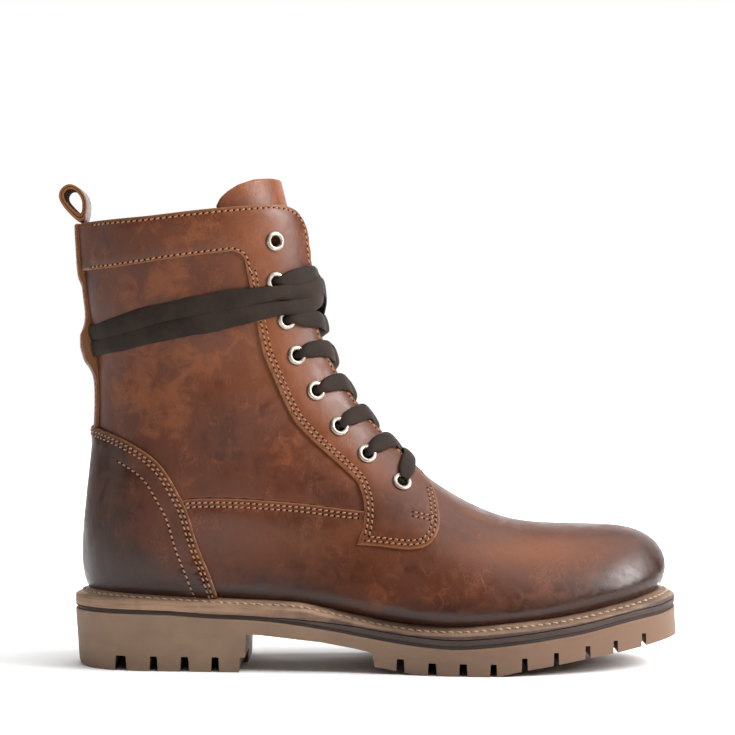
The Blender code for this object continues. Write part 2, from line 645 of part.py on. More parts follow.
def make_welt():
    outer, shoulder, inner = footprint(WELT_WIDTH), footprint(0.2), footprint(-3.0)
    n = len(outer)
    rings = [np.column_stack([outer, midsole_top(outer[:, 0]) + 0.3]),
             np.column_stack([outer, feather_z(outer[:, 0]) - 4.4]),
             np.column_stack([shoulder, feather_z(shoulder[:, 0])]),
             np.column_stack([inner, feather_z(inner[:, 0])]),
             np.column_stack([inner, midsole_top(inner[:, 0]) + 0.3])]
    faces = [(k * n + i, k * n + (i + 1) % n, (k + 1) % 5 * n + (i + 1) % n, (k + 1) % 5 * n + i)
             for k in range(5) for i in range(n)]
    face_out(add_mesh("welt", np.vstack(rings), faces, "welt"))


def make_outsole():
    ring = footprint(WELT_WIDTH, 90)
    half = len(ring) // 2
    lateral, medial = ring[:half + 1][::-1], np.vstack([ring[half:], ring[:1]])
    ends = (lateral[0, 0] + 0.05, lateral[-1, 0] - 0.05)
    middle = (ends[0] + ends[1]) / 2
    spread = middle + (ends[1] - ends[0]) / 2 * np.sin(np.linspace(-math.pi / 2, math.pi / 2, 34))
    corners = [x for x, _ in UNDERSIDE if ends[0] < x < ends[1]]
    stations = [x for x in spread if min(abs(x - c) for c in corners) > 1.5] + corners
    xs = np.array(sorted(stations))
    low = np.interp(xs, *np.array(UNDERSIDE).T)
    high = outsole_top(xs)
    left = np.interp(xs, *lateral.T)
    right = np.interp(xs, *medial.T)
    points, faces = [], []
    for x, a, b, z0, z1 in zip(xs, left, right, low, high):
        points += [(x, a, z0), (x, b, z0), (x, b, z1), (x, a, z1)]
    for i in range(0, 4 * (len(xs) - 1), 4):
        faces += [(i + k, i + (k + 1) % 4, i + 4 + (k + 1) % 4, i + 4 + k) for k in range(4)]
    faces += [(0, 1, 2, 3), tuple(len(points) - k for k in (4, 3, 2, 1))]
    sole = face_out(add_mesh("outsole", points, faces, "rubber"))
    cut(sole, groove_cutter())


def groove_cutter():
    points, faces = [], []
    rows = [(x, width, (-70, 0)) for x, width in LATERAL_GROOVES]
    rows += [(x, width, (0, 70)) for x, width in MEDIAL_GROOVES]
    for x, width, reach in rows:
        base = np.interp(x, *np.array(UNDERSIDE).T) if x > 0 else 0
        top = GROOVE_TOP if x < 0 else base + 6.2
        start = len(points)
        for y in reach:
            points += [(x - width / 2, y, base - 8), (x + width / 2, y, base - 8),
                       (x + width / 2.6, y, top), (x - width / 2.6, y, top)]
        faces += [tuple(start + k for k in face) for face in
                  ((0, 1, 2, 3), (7, 6, 5, 4), (0, 4, 5, 1), (1, 5, 6, 2), (2, 6, 7, 3), (3, 7, 4, 0))]
    return face_out(add_mesh("groove_cutter", points, faces, "rubber"))


def cut(target, cutter):
    cutter.hide_render = True
    cutter.display_type = "WIRE"
    modifier = target.modifiers.new("grooves", "BOOLEAN")
    modifier.operation = "DIFFERENCE"
    modifier.solver = "EXACT"
    modifier.object = cutter


# --- small parts ------------------------------------------------------------------------------------
def frame_at(u, angle):
    """Point, along-the-body direction, around direction and outward normal on S."""
    small = 1e-3
    point = body(u, angle)
    along = body(u + small, angle) - body(u - small, angle)
    along /= np.linalg.norm(along)
    normal = surface(np.array([u]), np.array([angle]), 1.0)[0] - point
    normal /= np.linalg.norm(normal)
    return point, along, np.cross(normal, along), normal


def make_eyelets():
    profile_points = [(EYELET_HOLE, -0.4), (EYELET_BARREL, -0.4), (EYELET_BARREL, 2.35), (EYELET_FLANGE, 2.35),
                      (4.4, 3.3), (EYELET_HOLE, 3.3)]
    count = 9
    for side, sign in (("lateral", 1), ("medial", -1)):
        for row, (x, z) in enumerate(EYELETS, 1):
            u, angle = locate(x, z)
            point, along, around, normal = frame_at(u, sign * angle)
            points = []
            for i in range(count):
                turn = 2 * math.pi * i / count
                spoke = math.cos(turn) * along + math.sin(turn) * around
                points += [point + r * spoke + h * normal for r, h in profile_points]
            m = len(profile_points)
            faces = [(i * m + k, i * m + (k + 1) % m, (i + 1) % count * m + (k + 1) % m, (i + 1) % count * m + k)
                     for i in range(count) for k in range(m)]
            face_out(add_mesh(f"eyelet_{side}_{row}", points, faces, "metal"))


LOOP_OUTSIDE = [(-145.6, 224.3), (-147.3, 225.0), (-149.9, 227.3), (-153.6, 231.4), (-156.2, 236.0),
                (-155.7, 240.3), (-152.3, 243.2), (-148.2, 242.7), (-144.6, 239.6), (-142.5, 234.9),
                (-142.6, 229.6), (-143.6, 225.5)]
LOOP_INSIDE = [(-145.6, 228.7), (-147.0, 229.3), (-148.9, 230.8), (-151.6, 233.6), (-153.6, 236.6),
               (-153.2, 239.2), (-151.2, 240.7), (-148.4, 240.1), (-146.2, 238.0), (-144.7, 234.7),
               (-144.6, 231.0), (-144.9, 229.3)]


def closed_curve(points, count):
    """Evenly spaced parameters on a smooth closed curve through points."""
    n = len(points)
    curve = spline([points[i % n] for i in range(-3, n + 4)])
    return curve(3 + np.arange(count) * n / count)


def make_pull_loop():
    count = 24
    outside, inside = closed_curve(LOOP_OUTSIDE, count), closed_curve(LOOP_INSIDE, count)
    points = [(x, y, z) for y in (-10.5, 10.5) for ring in (outside, inside) for x, z in ring]
    faces = []
    for i in range(count):
        j = (i + 1) % count
        a, b, c, d = 0, count, 2 * count, 3 * count
        faces += [(a + i, a + j, b + j, b + i), (c + i, d + i, d + j, c + j), (a + i, c + i, c + j, a + j),
                  (b + i, b + j, d + j, d + i)]
    face_out(add_mesh("pull_loop", points, faces, "leather", LOOP_HINGE))


# The lace, as (u, angle in degrees, height above S); the angle is positive on the lateral side.
def lacing(side):
    """One half of the lace from the bottom bar up to its top eyelet, starting on the given side."""
    places = [locate(x, z) for x, z in EYELETS]
    path = []
    for row in range(7, 0, -1):
        u, angle = places[row]
        degrees = side * math.degrees(angle)
        edge = side * math.degrees(facing_angle(u))
        path += [(u, degrees, -3.8), (u, degrees, 6.8)]
        if row == 1:
            break
        next_u, next_angle = places[row - 1]
        middle_u = (u + next_u) / 2
        over = 2.3 if side > 0 else -2.3
        far_edge = -side * math.degrees(facing_angle(middle_u + 0.2))
        path += [(u + 0.15 * (next_u - u), 0.55 * degrees + 0.45 * edge, 6.4),
                 (u + 0.33 * (next_u - u), edge, 5.1), (middle_u, 0, over),
                 (u + 0.68 * (next_u - u), far_edge, -2.6),
                 (u + 0.9 * (next_u - u), 0.6 * far_edge - side * 0.4 * math.degrees(next_angle), -3.6)]
        side = -side
    return path


def wrap_a():
    """From the lateral top eyelet over the front, round the medial side, the back and the lateral side."""
    medial = [(21.75, -15, 6.1), (22.1, -28, 6.1), (21.85, -45, 6.1), (21.65, -62, 6.1), (21.62, -78, 2.7),
              (21.75, -92, 2.6), (21.87, -112, 2.6), (21.93, -130, 2.6), (21.95, -155, 2.5), (21.95, -180, 2.25)]
    lateral = [(21.93, -210, 2.5), (21.9, -230, 2.6), (21.85, -248, 2.6), (21.72, -268, 2.6), (21.47, -283, 2.7),
               (21.2, -299, 6.1), (21.0, -312, 8.4), (20.75, -328, 10.5)]
    tail = [(20.4, -360, 10.5), (20.2, -385, 10.5), (19.8, -405, 10.3), (19.2, -417, 8.6), (18.5, -421, 4.9),
            (17.7, -421, 4.6)]
    return [(21.6, 30, 6.1), (22.1, 8, 6.1), (22.15, -8, 6.1)] + medial[1:] + lateral + tail


def wrap_b():
    """From the medial top eyelet over the front, round the lateral side, the back and the medial side."""
    lateral = [(21.25, -28, 6.1), (21.0, 0, 6.1), (20.75, 25, 6.1), (20.5, 41, 6.1), (20.6, 58, 6.1),
               (20.82, 76, 2.7), (20.95, 88, 2.6), (21.1, 100, 2.6), (21.25, 114, 2.6), (21.42, 132, 2.6),
               (21.55, 155, 2.5), (21.6, 180, 2.25)]
    medial = [(21.55, 205, 2.5), (21.42, 228, 2.6), (21.25, 246, 2.6), (21.1, 260, 2.6), (20.9, 274, 2.6),
              (20.4, 283, 2.7), (19.6, 285, 2.7), (18.4, 285, 2.7)]
    return lateral + medial


def trace(places, step=2.0):
    """World points along straight stretches in (u, degrees, height)."""
    points = []
    for a, b in zip(places[:-1], places[1:]):
        a, b = np.array(a, float), np.array(b, float)
        rough = surface(np.array([a[0], b[0]]), np.radians([a[1], b[1]]), np.array([a[2], b[2]]))
        count = max(2, int(np.linalg.norm(rough[1] - rough[0]) / step))
        for f in np.linspace(0, 1, count, endpoint=False):
            u, degrees, height = a + (b - a) * f
            points.append(surface(np.array([u]), np.array([math.radians(degrees)]), np.array([height]))[0])
    points.append(surface(np.array([b[0]]), np.array([math.radians(b[1])]), np.array([b[2]]))[0])
    return np.array(points)


def soften(points, passes):
    for _ in range(passes):
        points[1:-1] = (points[:-2] + 2 * points[1:-1] + points[2:]) / 4
    return points


def even(points, step):
    run = np.concatenate([[0], np.cumsum(np.linalg.norm(np.diff(points, axis=0), axis=1))])
    at = np.linspace(0, run[-1], max(2, round(run[-1] / step)) + 1)
    return np.stack([np.interp(at, run, points[:, i]) for i in range(3)], 1)


def tube(name, points, radius, sides, material):
    """A closed round tube along points, with its frame carried along and flat ends."""
    run = np.gradient(points, axis=0)
    run /= np.linalg.norm(run, axis=1, keepdims=True)
    across = np.cross(run[0], (0.3, 0.2, 1.0))
    vertices = []
    for point, direction in zip(points, run):
        across -= direction * (across @ direction)
        across /= np.linalg.norm(across)
        other = np.cross(direction, across)
        turn = 2 * math.pi * np.arange(sides) / sides
        vertices += [point + radius * (math.cos(t) * across + math.sin(t) * other) for t in turn]
    rings = len(points)
    faces = [(i * sides + k, i * sides + (k + 1) % sides, (i + 1) * sides + (k + 1) % sides, (i + 1) * sides + k)
             for i in range(rings - 1) for k in range(sides)]
    faces += [tuple(range(sides)), tuple((rings - 1) * sides + k for k in range(sides))[::-1]]
    return face_out(add_mesh(name, vertices, faces, material))


def make_lace():
    half_a = lacing(1) + wrap_a()
    half_b = lacing(-1) + wrap_b()
    course = even(soften(trace(half_a[::-1] + half_b), 1), 7.0)
    tube("lace", course, LACE_RADIUS, 5, "lace")
    for name, end, before in (("aglet_a", course[0], course[1]), ("aglet_b", course[-1], course[-2])):
        direction = (end - before) / np.linalg.norm(end - before)
        tube(name, end + np.outer((0.4, 20.4), direction), 1.9, 8, "metal")


def clear_scene():
    for obj in list(bpy.data.objects):
        bpy.data.objects.remove(obj, do_unlink=True)


def main():
    clear_scene()
    make_outsole()
    make_midsole_and_fillers()
    make_shank()
    make_welt()
    make_vamp()
    make_quarters()
    make_eyestays()
    make_heel_pieces()
    make_toe_puff()
    make_linings()
    make_tongue()
    make_back_strap()
    make_pull_loop()
    make_eyelets()
    make_lace()


main()
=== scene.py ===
"""Looks of the right lace-up winter boot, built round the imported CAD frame.

Lengths are millimetres on the boot's own body surface, S(u, angle), until a mesh is made; meshes are metres.
u counts the body's sections from the toe's tip to above the tongue; angle runs round a section,
0 at the front ridge and 180 degrees at the sole or the heel, positive on the lateral side (-Y).
"""
import math

import bmesh
import bpy
import numpy as np
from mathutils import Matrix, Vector, noise
from mathutils.geometry import delaunay_2d_cdt
from mathutils.kdtree import KDTree


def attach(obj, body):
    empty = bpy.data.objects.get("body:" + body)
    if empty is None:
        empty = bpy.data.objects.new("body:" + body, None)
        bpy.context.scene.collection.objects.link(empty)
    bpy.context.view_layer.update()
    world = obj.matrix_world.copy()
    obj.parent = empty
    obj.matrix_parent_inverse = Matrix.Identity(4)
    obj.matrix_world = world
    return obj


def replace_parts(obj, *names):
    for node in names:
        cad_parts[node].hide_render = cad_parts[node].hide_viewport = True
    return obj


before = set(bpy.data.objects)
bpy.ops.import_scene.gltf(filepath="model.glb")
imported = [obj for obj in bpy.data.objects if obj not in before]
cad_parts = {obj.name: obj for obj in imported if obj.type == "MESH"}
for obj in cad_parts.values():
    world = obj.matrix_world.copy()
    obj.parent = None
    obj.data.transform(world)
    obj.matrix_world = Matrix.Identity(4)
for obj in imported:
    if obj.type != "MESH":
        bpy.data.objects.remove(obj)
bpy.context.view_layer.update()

MM = 0.001

# Each section of the body: front point x, z; rear or bottom point x, z; middle y;
# lateral and medial half-width; how far the rounding reaches in from the front and the rear.
SECTIONS = np.array([
    (152.4, 50.5, 152.4, 50.5, 6.5, 0.0, 0.0, 1.00, 0.50),
    (151.1, 56.3, 151.4, 44.3, 6.5, 12.5, 12.0, 1.00, 0.50),
    (147.3, 61.8, 147.3, 36.5, 6.3, 23.5, 22.0, 1.00, 0.45),
    (140.1, 66.6, 140.1, 31.0, 6.0, 33.0, 31.0, 1.00, 0.40),
    (128.6, 69.5, 129.1, 27.5, 5.5, 41.5, 38.5, 1.00, 0.36),
    (111.1, 70.5, 112.1, 23.5, 4.8, 49.0, 44.8, 1.00, 0.32),
    (92.1, 71.2, 91.1, 19.5, 4.0, 54.0, 48.2, 1.00, 0.28),
    (73.1, 73.4, 68.1, 17.0, 3.2, 56.5, 49.8, 1.00, 0.24),
    (55.6, 79.6, 44.1, 16.0, 2.6, 56.0, 48.2, 1.00, 0.21),
    (40.6, 87.5, 20.1, 18.0, 2.0, 52.0, 43.8, 0.98, 0.19),
    (28.4, 96.5, -3.9, 22.0, 1.6, 46.5, 38.0, 0.94, 0.17),
    (19.1, 105.5, -28.9, 25.5, 1.3, 41.5, 35.0, 0.88, 0.16),
    (11.1, 114.0, -54.9, 28.0, 1.0, 38.5, 34.0, 0.80, 0.15),
    (3.6, 122.5, -81.9, 29.5, 0.8, 37.0, 34.0, 0.72, 0.15),
    (-2.9, 131.0, -107.9, 31.0, 0.6, 36.5, 35.0, 0.65, 0.17),
    (-8.4, 139.0, -129.9, 32.5, 0.4, 36.5, 35.5, 0.60, 0.22),
    (-12.9, 147.0, -140.9, 40.5, 0.2, 36.0, 35.5, 0.56, 0.30),
    (-16.5, 155.0, -143.9, 56.0, 0.0, 35.5, 35.0, 0.54, 0.36),
    (-19.5, 163.5, -142.8, 75.0, 0.0, 35.0, 34.5, 0.52, 0.40),
    (-22.1, 173.0, -140.5, 96.0, 0.0, 34.8, 34.3, 0.51, 0.44),
    (-24.3, 184.0, -138.5, 119.0, 0.0, 35.0, 34.5, 0.50, 0.47),
    (-25.9, 196.0, -138.2, 143.0, 0.0, 36.0, 35.5, 0.50, 0.50),
    (-27.3, 208.5, -141.1, 167.0, 0.0, 37.5, 37.0, 0.50, 0.50),
    (-29.2, 221.0, -144.5, 193.0, 0.0, 39.0, 38.5, 0.50, 0.50),
    (-31.9, 233.0, -146.3, 219.0, 0.0, 40.0, 39.5, 0.50, 0.50),
    (-34.6, 244.0, -147.1, 240.0, 0.0, 40.5, 40.0, 0.50, 0.50),
    (-37.4, 255.0, -147.6, 256.0, 0.0, 40.7, 40.2, 0.50, 0.50),
])
ROUNDNESS = 2.1              # exponent of the section's rounding, 2 is an ellipse
U_TOP = len(SECTIONS) - 1
U_THROAT = 9.9               # where the vamp ends and the facings open

# Where the upper meets the welt, height by length.
FEATHER = [(-146, 40.0), (-99, 37.8), (-50, 35.6), (-34, 34.7), (-18, 31.5), (-2, 27.9), (16, 24.8),
           (31, 23.6), (50, 23.9), (78, 26.4), (99, 28.8), (132, 34.8), (153, 39.4)]
# Top of the outsole and its underside over the arch and the toe.
OUTSOLE_TOP = [(-152, 28.5), (-100, 28.0), (-77, 26.6), (-56, 25.8), (-34, 23.6), (-13, 20.1), (9, 16.2),
               (31, 13.7), (50, 13.5), (84, 16.9), (106, 20.1), (128, 24.5), (147, 27.4), (160, 30.4)]
UNDERSIDE = [(-153, 7.0), (-147, 1.2), (-142, 0.0), (-61, 0.0), (-60, 18.8), (-53, 18.5), (-38, 17.0),
             (-23, 15.4), (-7, 12.5), (2, 10.5), (3.5, 3.6), (13, 2.0), (25, 0.0), (62, 0.0), (77, 2.9),
             (92, 5.0), (108, 7.7), (124, 9.9), (138, 12.3), (152, 14.8), (162, 16.2)]

# Outlines of the upper's panels, as seen from the side: (x, z).
COLLAR_TOP = [(-146.5, 223.2), (-141.5, 223.3), (-125.0, 224.2), (-108.0, 225.3), (-90.0, 227.3),
              (-73.0, 229.2), (-50.0, 231.6), (-43.0, 231.9), (-38.0, 231.3)]
BAND_EDGE = [(-145.0, 199.3), (-141.5, 199.5), (-125.0, 200.5), (-95.4, 204.5), (-71.8, 207.5),
             (-66.5, 208.0), (-62.0, 205.7), (-60.3, 200.3), (-58.5, 190.4), (-55.1, 172.0), (-52.5, 159.2),
             (-48.6, 149.3), (-39.1, 128.3), (-33.0, 119.8), (-25.7, 112.3), (-8.7, 96.9), (-4.2, 91.0),
             (-2.2, 85.0), (-1.7, 76.4), (-2.7, 69.6), (-5.2, 62.8)]
STAY_FOOT = [(-5.2, 62.8), (5.2, 62.2), (16.5, 61.0), (23.9, 61.0), (29.9, 62.8), (34.4, 68.0), (35.6, 74.6),
             (34.4, 83.0), (32.1, 90.0)]
WING_EDGE = [(-2.2, 79.0), (-17.6, 80.8), (-33.0, 82.9), (-63.0, 85.3), (-84.3, 85.5), (-91.0, 84.8)]
WING_END = [(-91.0, 84.8), (-99.0, 82.0), (-102.5, 72.0), (-101.0, 50.0), (-99.0, 38.3)]
COUNTER_EDGE = [(-138.9, 120.8), (-132.0, 118.6), (-124.1, 115.8), (-114.5, 111.0), (-105.2, 104.7),
                (-98.2, 96.3), (-93.7, 88.4), (-89.2, 79.6), (-85.7, 68.2), (-82.3, 58.3), (-77.9, 47.9),
                (-74.3, 37.3)]
QUARTER_FRONT = [(-52.0, 231.7), (-52.5, 208.0), (-51.5, 192.0), (-47.5, 172.0), (-44.5, 159.0),
                 (-41.0, 149.5), (-32.5, 129.0), (-27.0, 120.5), (-20.0, 113.0), (-3.5, 97.0), (1.0, 91.0),
                 (1.0, 85.0), (-2.2, 79.0)]
INNER_FRONT = [(-57.0, 228.5), (-58.0, 208.0), (-57.0, 192.0), (-53.0, 172.0), (-50.0, 159.0), (-46.5, 149.0),
               (-38.0, 128.0), (-32.5, 119.5), (-25.0, 112.0), (-8.0, 97.0), (-1.0, 88.0), (7.0, 79.0)]
# The tongue's top edge: (degrees from the ridge, z).
TONGUE_TOP = [(0.0, 248.3), (25.0, 247.8), (45.0, 245.8), (57.0, 242.6), (65.0, 238.8), (70.5, 235.0),
              (73.5, 231.0)]

# Eyelet centres on the lateral side, from the top row to the bottom row: (x, z).
EYELETS = [(-46.8, 213.2), (-46.5, 193.1), (-41.2, 174.2), (-36.2, 156.4), (-26.6, 138.5), (-14.8, 120.5),
           (-0.8, 106.5), (16.8, 92.3)]
EYELET_BARREL = 3.2          # outer radius of an eyelet's barrel
# Half the opening between the two facings: (u, mm).
FACING_HALF_GAP = [(9.9, 5.5), (12.0, 6.0), (14.0, 7.0), (16.0, 9.0), (18.0, 11.5), (19.0, 12.5),
                   (26.0, 12.5)]

WELT_WIDTH = 6.2
WELT_TIP_EXTRA = 2.1         # the sole reaches further at the toe and the heel than at the sides
GROOVE_TOP = 7.4             # height of the grooves under the heel
# Grooves between the lugs, (x, width), from each side to the middle; the two sides' lugs are staggered.
LATERAL_GROOVES = [(-122.6, 7.4), (-106.0, 5.0), (-90.5, 5.4), (-75.3, 5.0), (-61.2, 5.6), (16.1, 4.9),
                   (31.6, 5.3), (46.6, 5.0), (61.3, 4.2), (76.5, 3.8), (92.2, 3.5), (108.1, 3.5),
                   (122.4, 3.1), (137.4, 3.1)]
MEDIAL_GROOVES = [(-114.3, 5.4), (-98.2, 5.2), (-82.9, 5.2), (23.8, 5.1), (39.1, 5.1), (54.0, 4.6),
                  (68.9, 4.0), (84.4, 3.6), (100.2, 3.5), (115.2, 3.3), (129.9, 3.1)]
EDGE_RINGS = (0.35, 0.8, 1.5)    # extra rows of vertices at these distances from each edge
FURROW_REACH = 1.0           # and at this distance from each sewn row
FURROW_DEPTH = 0.32
FURROW_WIDTH = 0.75
BOTH_SIDES = (("lateral", 1), ("medial", -1))


def spline(points):
    """Natural cubic spline through rows of points, as a function of the row number."""
    rows = np.asarray(points, float)
    n = len(rows)
    system = np.eye(n)
    right = np.zeros_like(rows)
    for i in range(1, n - 1):
        system[i, i - 1:i + 2] = (1, 4, 1)
        right[i] = 6 * (rows[i + 1] - 2 * rows[i] + rows[i - 1])
    bend = np.linalg.solve(system, right)

    def at(t):
        t = np.asarray(t, float)
        i = np.clip(t.astype(int), 0, n - 2)
        f = (t - i)[..., None] if rows.ndim > 1 else t - i
        g = 1 - f
        return g * rows[i] + f * rows[i + 1] + ((g**3 - g) * bend[i] + (f**3 - f) * bend[i + 1]) / 6
    return at


def bisect(low, high, holds):
    """The value between low and high up to which holds(value) is true."""
    for _ in range(40):
        middle = (low + high) / 2
        if holds(middle):
            low = middle
        else:
            high = middle
    return low


def profile(points):
    """Smooth z of x through (x, z) points with growing x."""
    xs = np.array([p[0] for p in points], float)
    curve = spline([p[1] for p in points])
    return lambda x: curve(np.interp(x, xs, np.arange(len(xs))))


def mirrored_first(rows):
    """The sections with one more in front of the toe, so that the toe's tip is round."""
    ghost = rows[1].copy()
    ghost[:4] = rows[1][[2, 3, 0, 1]]
    ghost[5:7] *= -1
    return np.vstack([ghost, rows])


section_spline = spline(mirrored_first(SECTIONS))
feather_z = profile(FEATHER)
outsole_top = profile(OUTSOLE_TOP)


def section(u):
    return section_spline(np.asarray(u, float) + 1)


def rounding(part, reach):
    inner = np.clip(1 - np.clip(part / reach, 0, 1), 0, 1)
    return np.sqrt(np.clip(1 - inner**ROUNDNESS, 0, None))


def body(u, angle):
    s = section(u)
    part = (1 - np.cos(angle)) / 2
    x = s[..., 0] + (s[..., 2] - s[..., 0]) * part
    z = s[..., 1] + (s[..., 3] - s[..., 1]) * part
    lateral = np.sin(angle) >= 0
    half = np.where(lateral, -s[..., 5], s[..., 6])
    y = s[..., 4] + half * rounding(part, s[..., 7]) * rounding(1 - part, s[..., 8])
    return np.stack([x, y, z], -1)


def surface(u, angle, offset=0.0):
    """Points of S moved outwards by offset."""
    u, angle = np.broadcast_arrays(np.asarray(u, float), np.asarray(angle, float))
    small = 1e-3
    along = body(u + small, angle) - body(np.maximum(u - small, 1e-5), angle)
    around = body(u, angle + small) - body(u, angle - small)
    normal = np.cross(along, around)
    length = np.linalg.norm(normal, axis=-1, keepdims=True)
    normal = np.where(length > 1e-9, normal / np.maximum(length, 1e-9), (1.0, 0, 0))
    return body(u, angle) + normal * np.asarray(offset, float)[..., None]


def locate(x, z):
    """u and angle on the lateral side of the point seen at x, z from the side."""
    low, high = 1e-4, float(U_TOP)
    for _ in range(45):
        u = (low + high) / 2
        s = section(u)
        if (s[2] - s[0]) * (z - s[1]) - (s[3] - s[1]) * (x - s[0]) < 0:
            low = u
        else:
            high = u
    s = section(u)
    chord = s[2:4] - s[0:2]
    part = ((x - s[0]) * chord[0] + (z - s[1]) * chord[1]) / (chord @ chord)
    return u, math.acos(min(1, max(-1, 1 - 2 * part)))


def solve_angle(u, inside, low, high):
    """The angle between low and high where inside(point) turns from true to false."""
    return bisect(low, high, lambda angle: inside(body(u, angle)))


def feather_angle(u, lift=0.5):
    return solve_angle(u, lambda p: p[2] > feather_z(p[0]) + lift, math.radians(80), math.pi)


def facing_angle(u):
    half_gap = np.interp(u, [p[0] for p in FACING_HALF_GAP], [p[1] for p in FACING_HALF_GAP])
    return solve_angle(u, lambda p: abs(p[1]) < half_gap, 0.0, math.radians(80))


def feather_ends(lift=0.5):
    """The two values of u where the feather line crosses the toe's and the heel's middle."""
    def above(u):
        p = body(u, math.pi)
        return p[2] > feather_z(p[0]) + lift
    return [bisect(0.2, 2.5, above), bisect(17.5, 15.0, above)]


# --- outlines in (u, angle) -----------------------------------------------------------------------
def run_of(points):
    """The length from the first point to each point of a chain."""
    return np.concatenate([[0], np.cumsum(np.linalg.norm(np.diff(points, axis=0), axis=1))])


def length_of(path):
    return run_of(surface(*np.array(path).T))


def along_run(lengths, run, values):
    """Rows of values, known at each length in run, at other lengths."""
    return np.stack([np.interp(lengths, run, column) for column in np.asarray(values).T], 1)


def resample(path, step):
    """The path with evenly spaced points about step apart."""
    path = np.array(path, float)
    run = length_of(path)
    count = max(1, round(run[-1] / step))
    even = np.linspace(0, run[-1], count + 1)
    return along_run(even, run, path)


def seen(points, step):
    """A side-view outline as an evenly spaced path in (u, angle)."""
    curve = spline(points)
    dense = curve(np.linspace(0, len(points) - 1, 12 * len(points)))
    return resample([locate(x, z) for x, z in dense], step)


def along_feather(u_start, u_end, step, lift=0.5):
    """The lower edge of a panel; None stands for the middle of the toe or of the heel."""
    toe, heel = feather_ends(lift)
    path = [(toe, math.pi)] if u_start is None else []
    spread = (1 - np.cos(np.linspace(0, math.pi, 80))) / 2
    first = toe + 1e-3 if u_start is None else u_start
    last = heel - 1e-3 if u_end is None else u_end
    path += [(u, feather_angle(u, lift)) for u in first + (last - first) * spread]
    path += [(heel, math.pi)] if u_end is None else []
    return resample(path, step)


def along_facing(u_start, u_end, step):
    return resample([(u, facing_angle(u)) for u in np.linspace(u_start, u_end, 40)], step)


def along_ridge(angle, u_start, u_end, step):
    return resample([(u, angle) for u in np.linspace(u_start, u_end, 40)], step)


def around_section(u, start, end, step):
    return resample([(u, a) for a in np.linspace(start, end, 40)], step)


def other_side(path, about):
    """The mirror image of a path, walked backwards: about the ridge (0) or the back (pi)."""
    flipped = np.array(path)[::-1].copy()
    flipped[:, 1] = 2 * about - flipped[:, 1]
    return flipped


def join(*paths):
    """One closed outline from paths laid end to end, without repeated points."""
    outline = []
    for point in np.vstack(paths):
        if not outline or np.abs(point - outline[-1]).max() > 1e-5:
            outline.append(point)
    if np.abs(outline[0] - outline[-1]).max() < 1e-5:
        outline.pop()
    return np.array(outline)


# --- meshing ------------------------------------------------------------------------------------
RINGS = np.linspace(0, U_TOP, 400)
RING_GIRTH = np.array([np.linalg.norm(np.diff(body(np.full(49, u), np.linspace(0, math.pi, 49)), axis=0),
                                      axis=1).sum() / math.pi for u in RINGS])
RING_RUN = length_of([(u, math.pi / 2) for u in RINGS])


def unroll(points, middle):
    """(u, angle) laid out flat, in millimetres along the body and around it from a middle angle."""
    u, angle = np.array(points, float).T
    return np.stack([np.interp(u, RINGS, RING_RUN), (angle - middle) * np.interp(u, RINGS, RING_GIRTH)], 1)


def inside_loops(points, loops):
    inside = np.zeros(len(points), bool)
    for loop in loops:
        for (x0, y0), (x1, y1) in zip(loop, np.roll(loop, -1, axis=0)):
            crosses = (y0 > points[:, 1]) != (y1 > points[:, 1])
            if y0 != y1:
                inside ^= crosses & (points[:, 0] < x0 + (points[:, 1] - y0) * (x1 - x0) / (y1 - y0))
    return inside


def unit(vectors):
    return vectors / np.maximum(np.linalg.norm(vectors, axis=-1, keepdims=True), 1e-9)


def normals(u, angle):
    return unit(surface(u, angle, 1.0) - body(*np.broadcast_arrays(np.asarray(u, float), angle)))


def sideways(path, distance, closed=False):
    """The path moved across S, to the left of its direction as seen from outside."""
    path = np.array(path, float)
    steps = max(1, math.ceil(abs(distance) / 1.5))
    for _ in range(steps):
        points = surface(*path.T)
        if closed:
            run = np.roll(points, -1, axis=0) - np.roll(points, 1, axis=0)
        else:
            run = np.gradient(points, axis=0)
        across = unit(np.cross(normals(*path.T), run)) * distance / steps
        small = 1e-3
        d_u = (body(path[:, 0] + small, path[:, 1]) - body(path[:, 0] - small, path[:, 1])) / (2 * small)
        d_a = (body(path[:, 0], path[:, 1] + small) - body(path[:, 0], path[:, 1] - small)) / (2 * small)
        e, f, g = (d_u * d_u).sum(1), (d_u * d_a).sum(1), (d_a * d_a).sum(1)
        p, q = (across * d_u).sum(1), (across * d_a).sum(1)
        det = np.maximum(e * g - f * f, 1e-6)
        path = path + np.stack([(p * g - q * f) / det, (q * e - p * f) / det], 1)
    return path


def beside(path, distance, towards):
    """The path moved by distance to the side where the place (u, angle) lies."""
    options = [sideways(path, sign * distance) for sign in (1, -1)]
    target = body(*np.array(towards, float))
    near = [np.linalg.norm(body(*option.T) - target, axis=1).min() for option in options]
    return resample(options[int(near[1] < near[0])], 2.0)


def tree_of(points):
    tree = KDTree(len(points))
    for i, p in enumerate(points):
        tree.insert(p, i)
    tree.balance()
    return tree


def distances(tree, points):
    return np.array([tree.find(p)[2] for p in points])


def dense(path, closed=False):
    """World points every half millimetre along a path."""
    path = np.vstack([path, path[:1]]) if closed else np.asarray(path)
    return surface(*resample(path, 0.5).T)


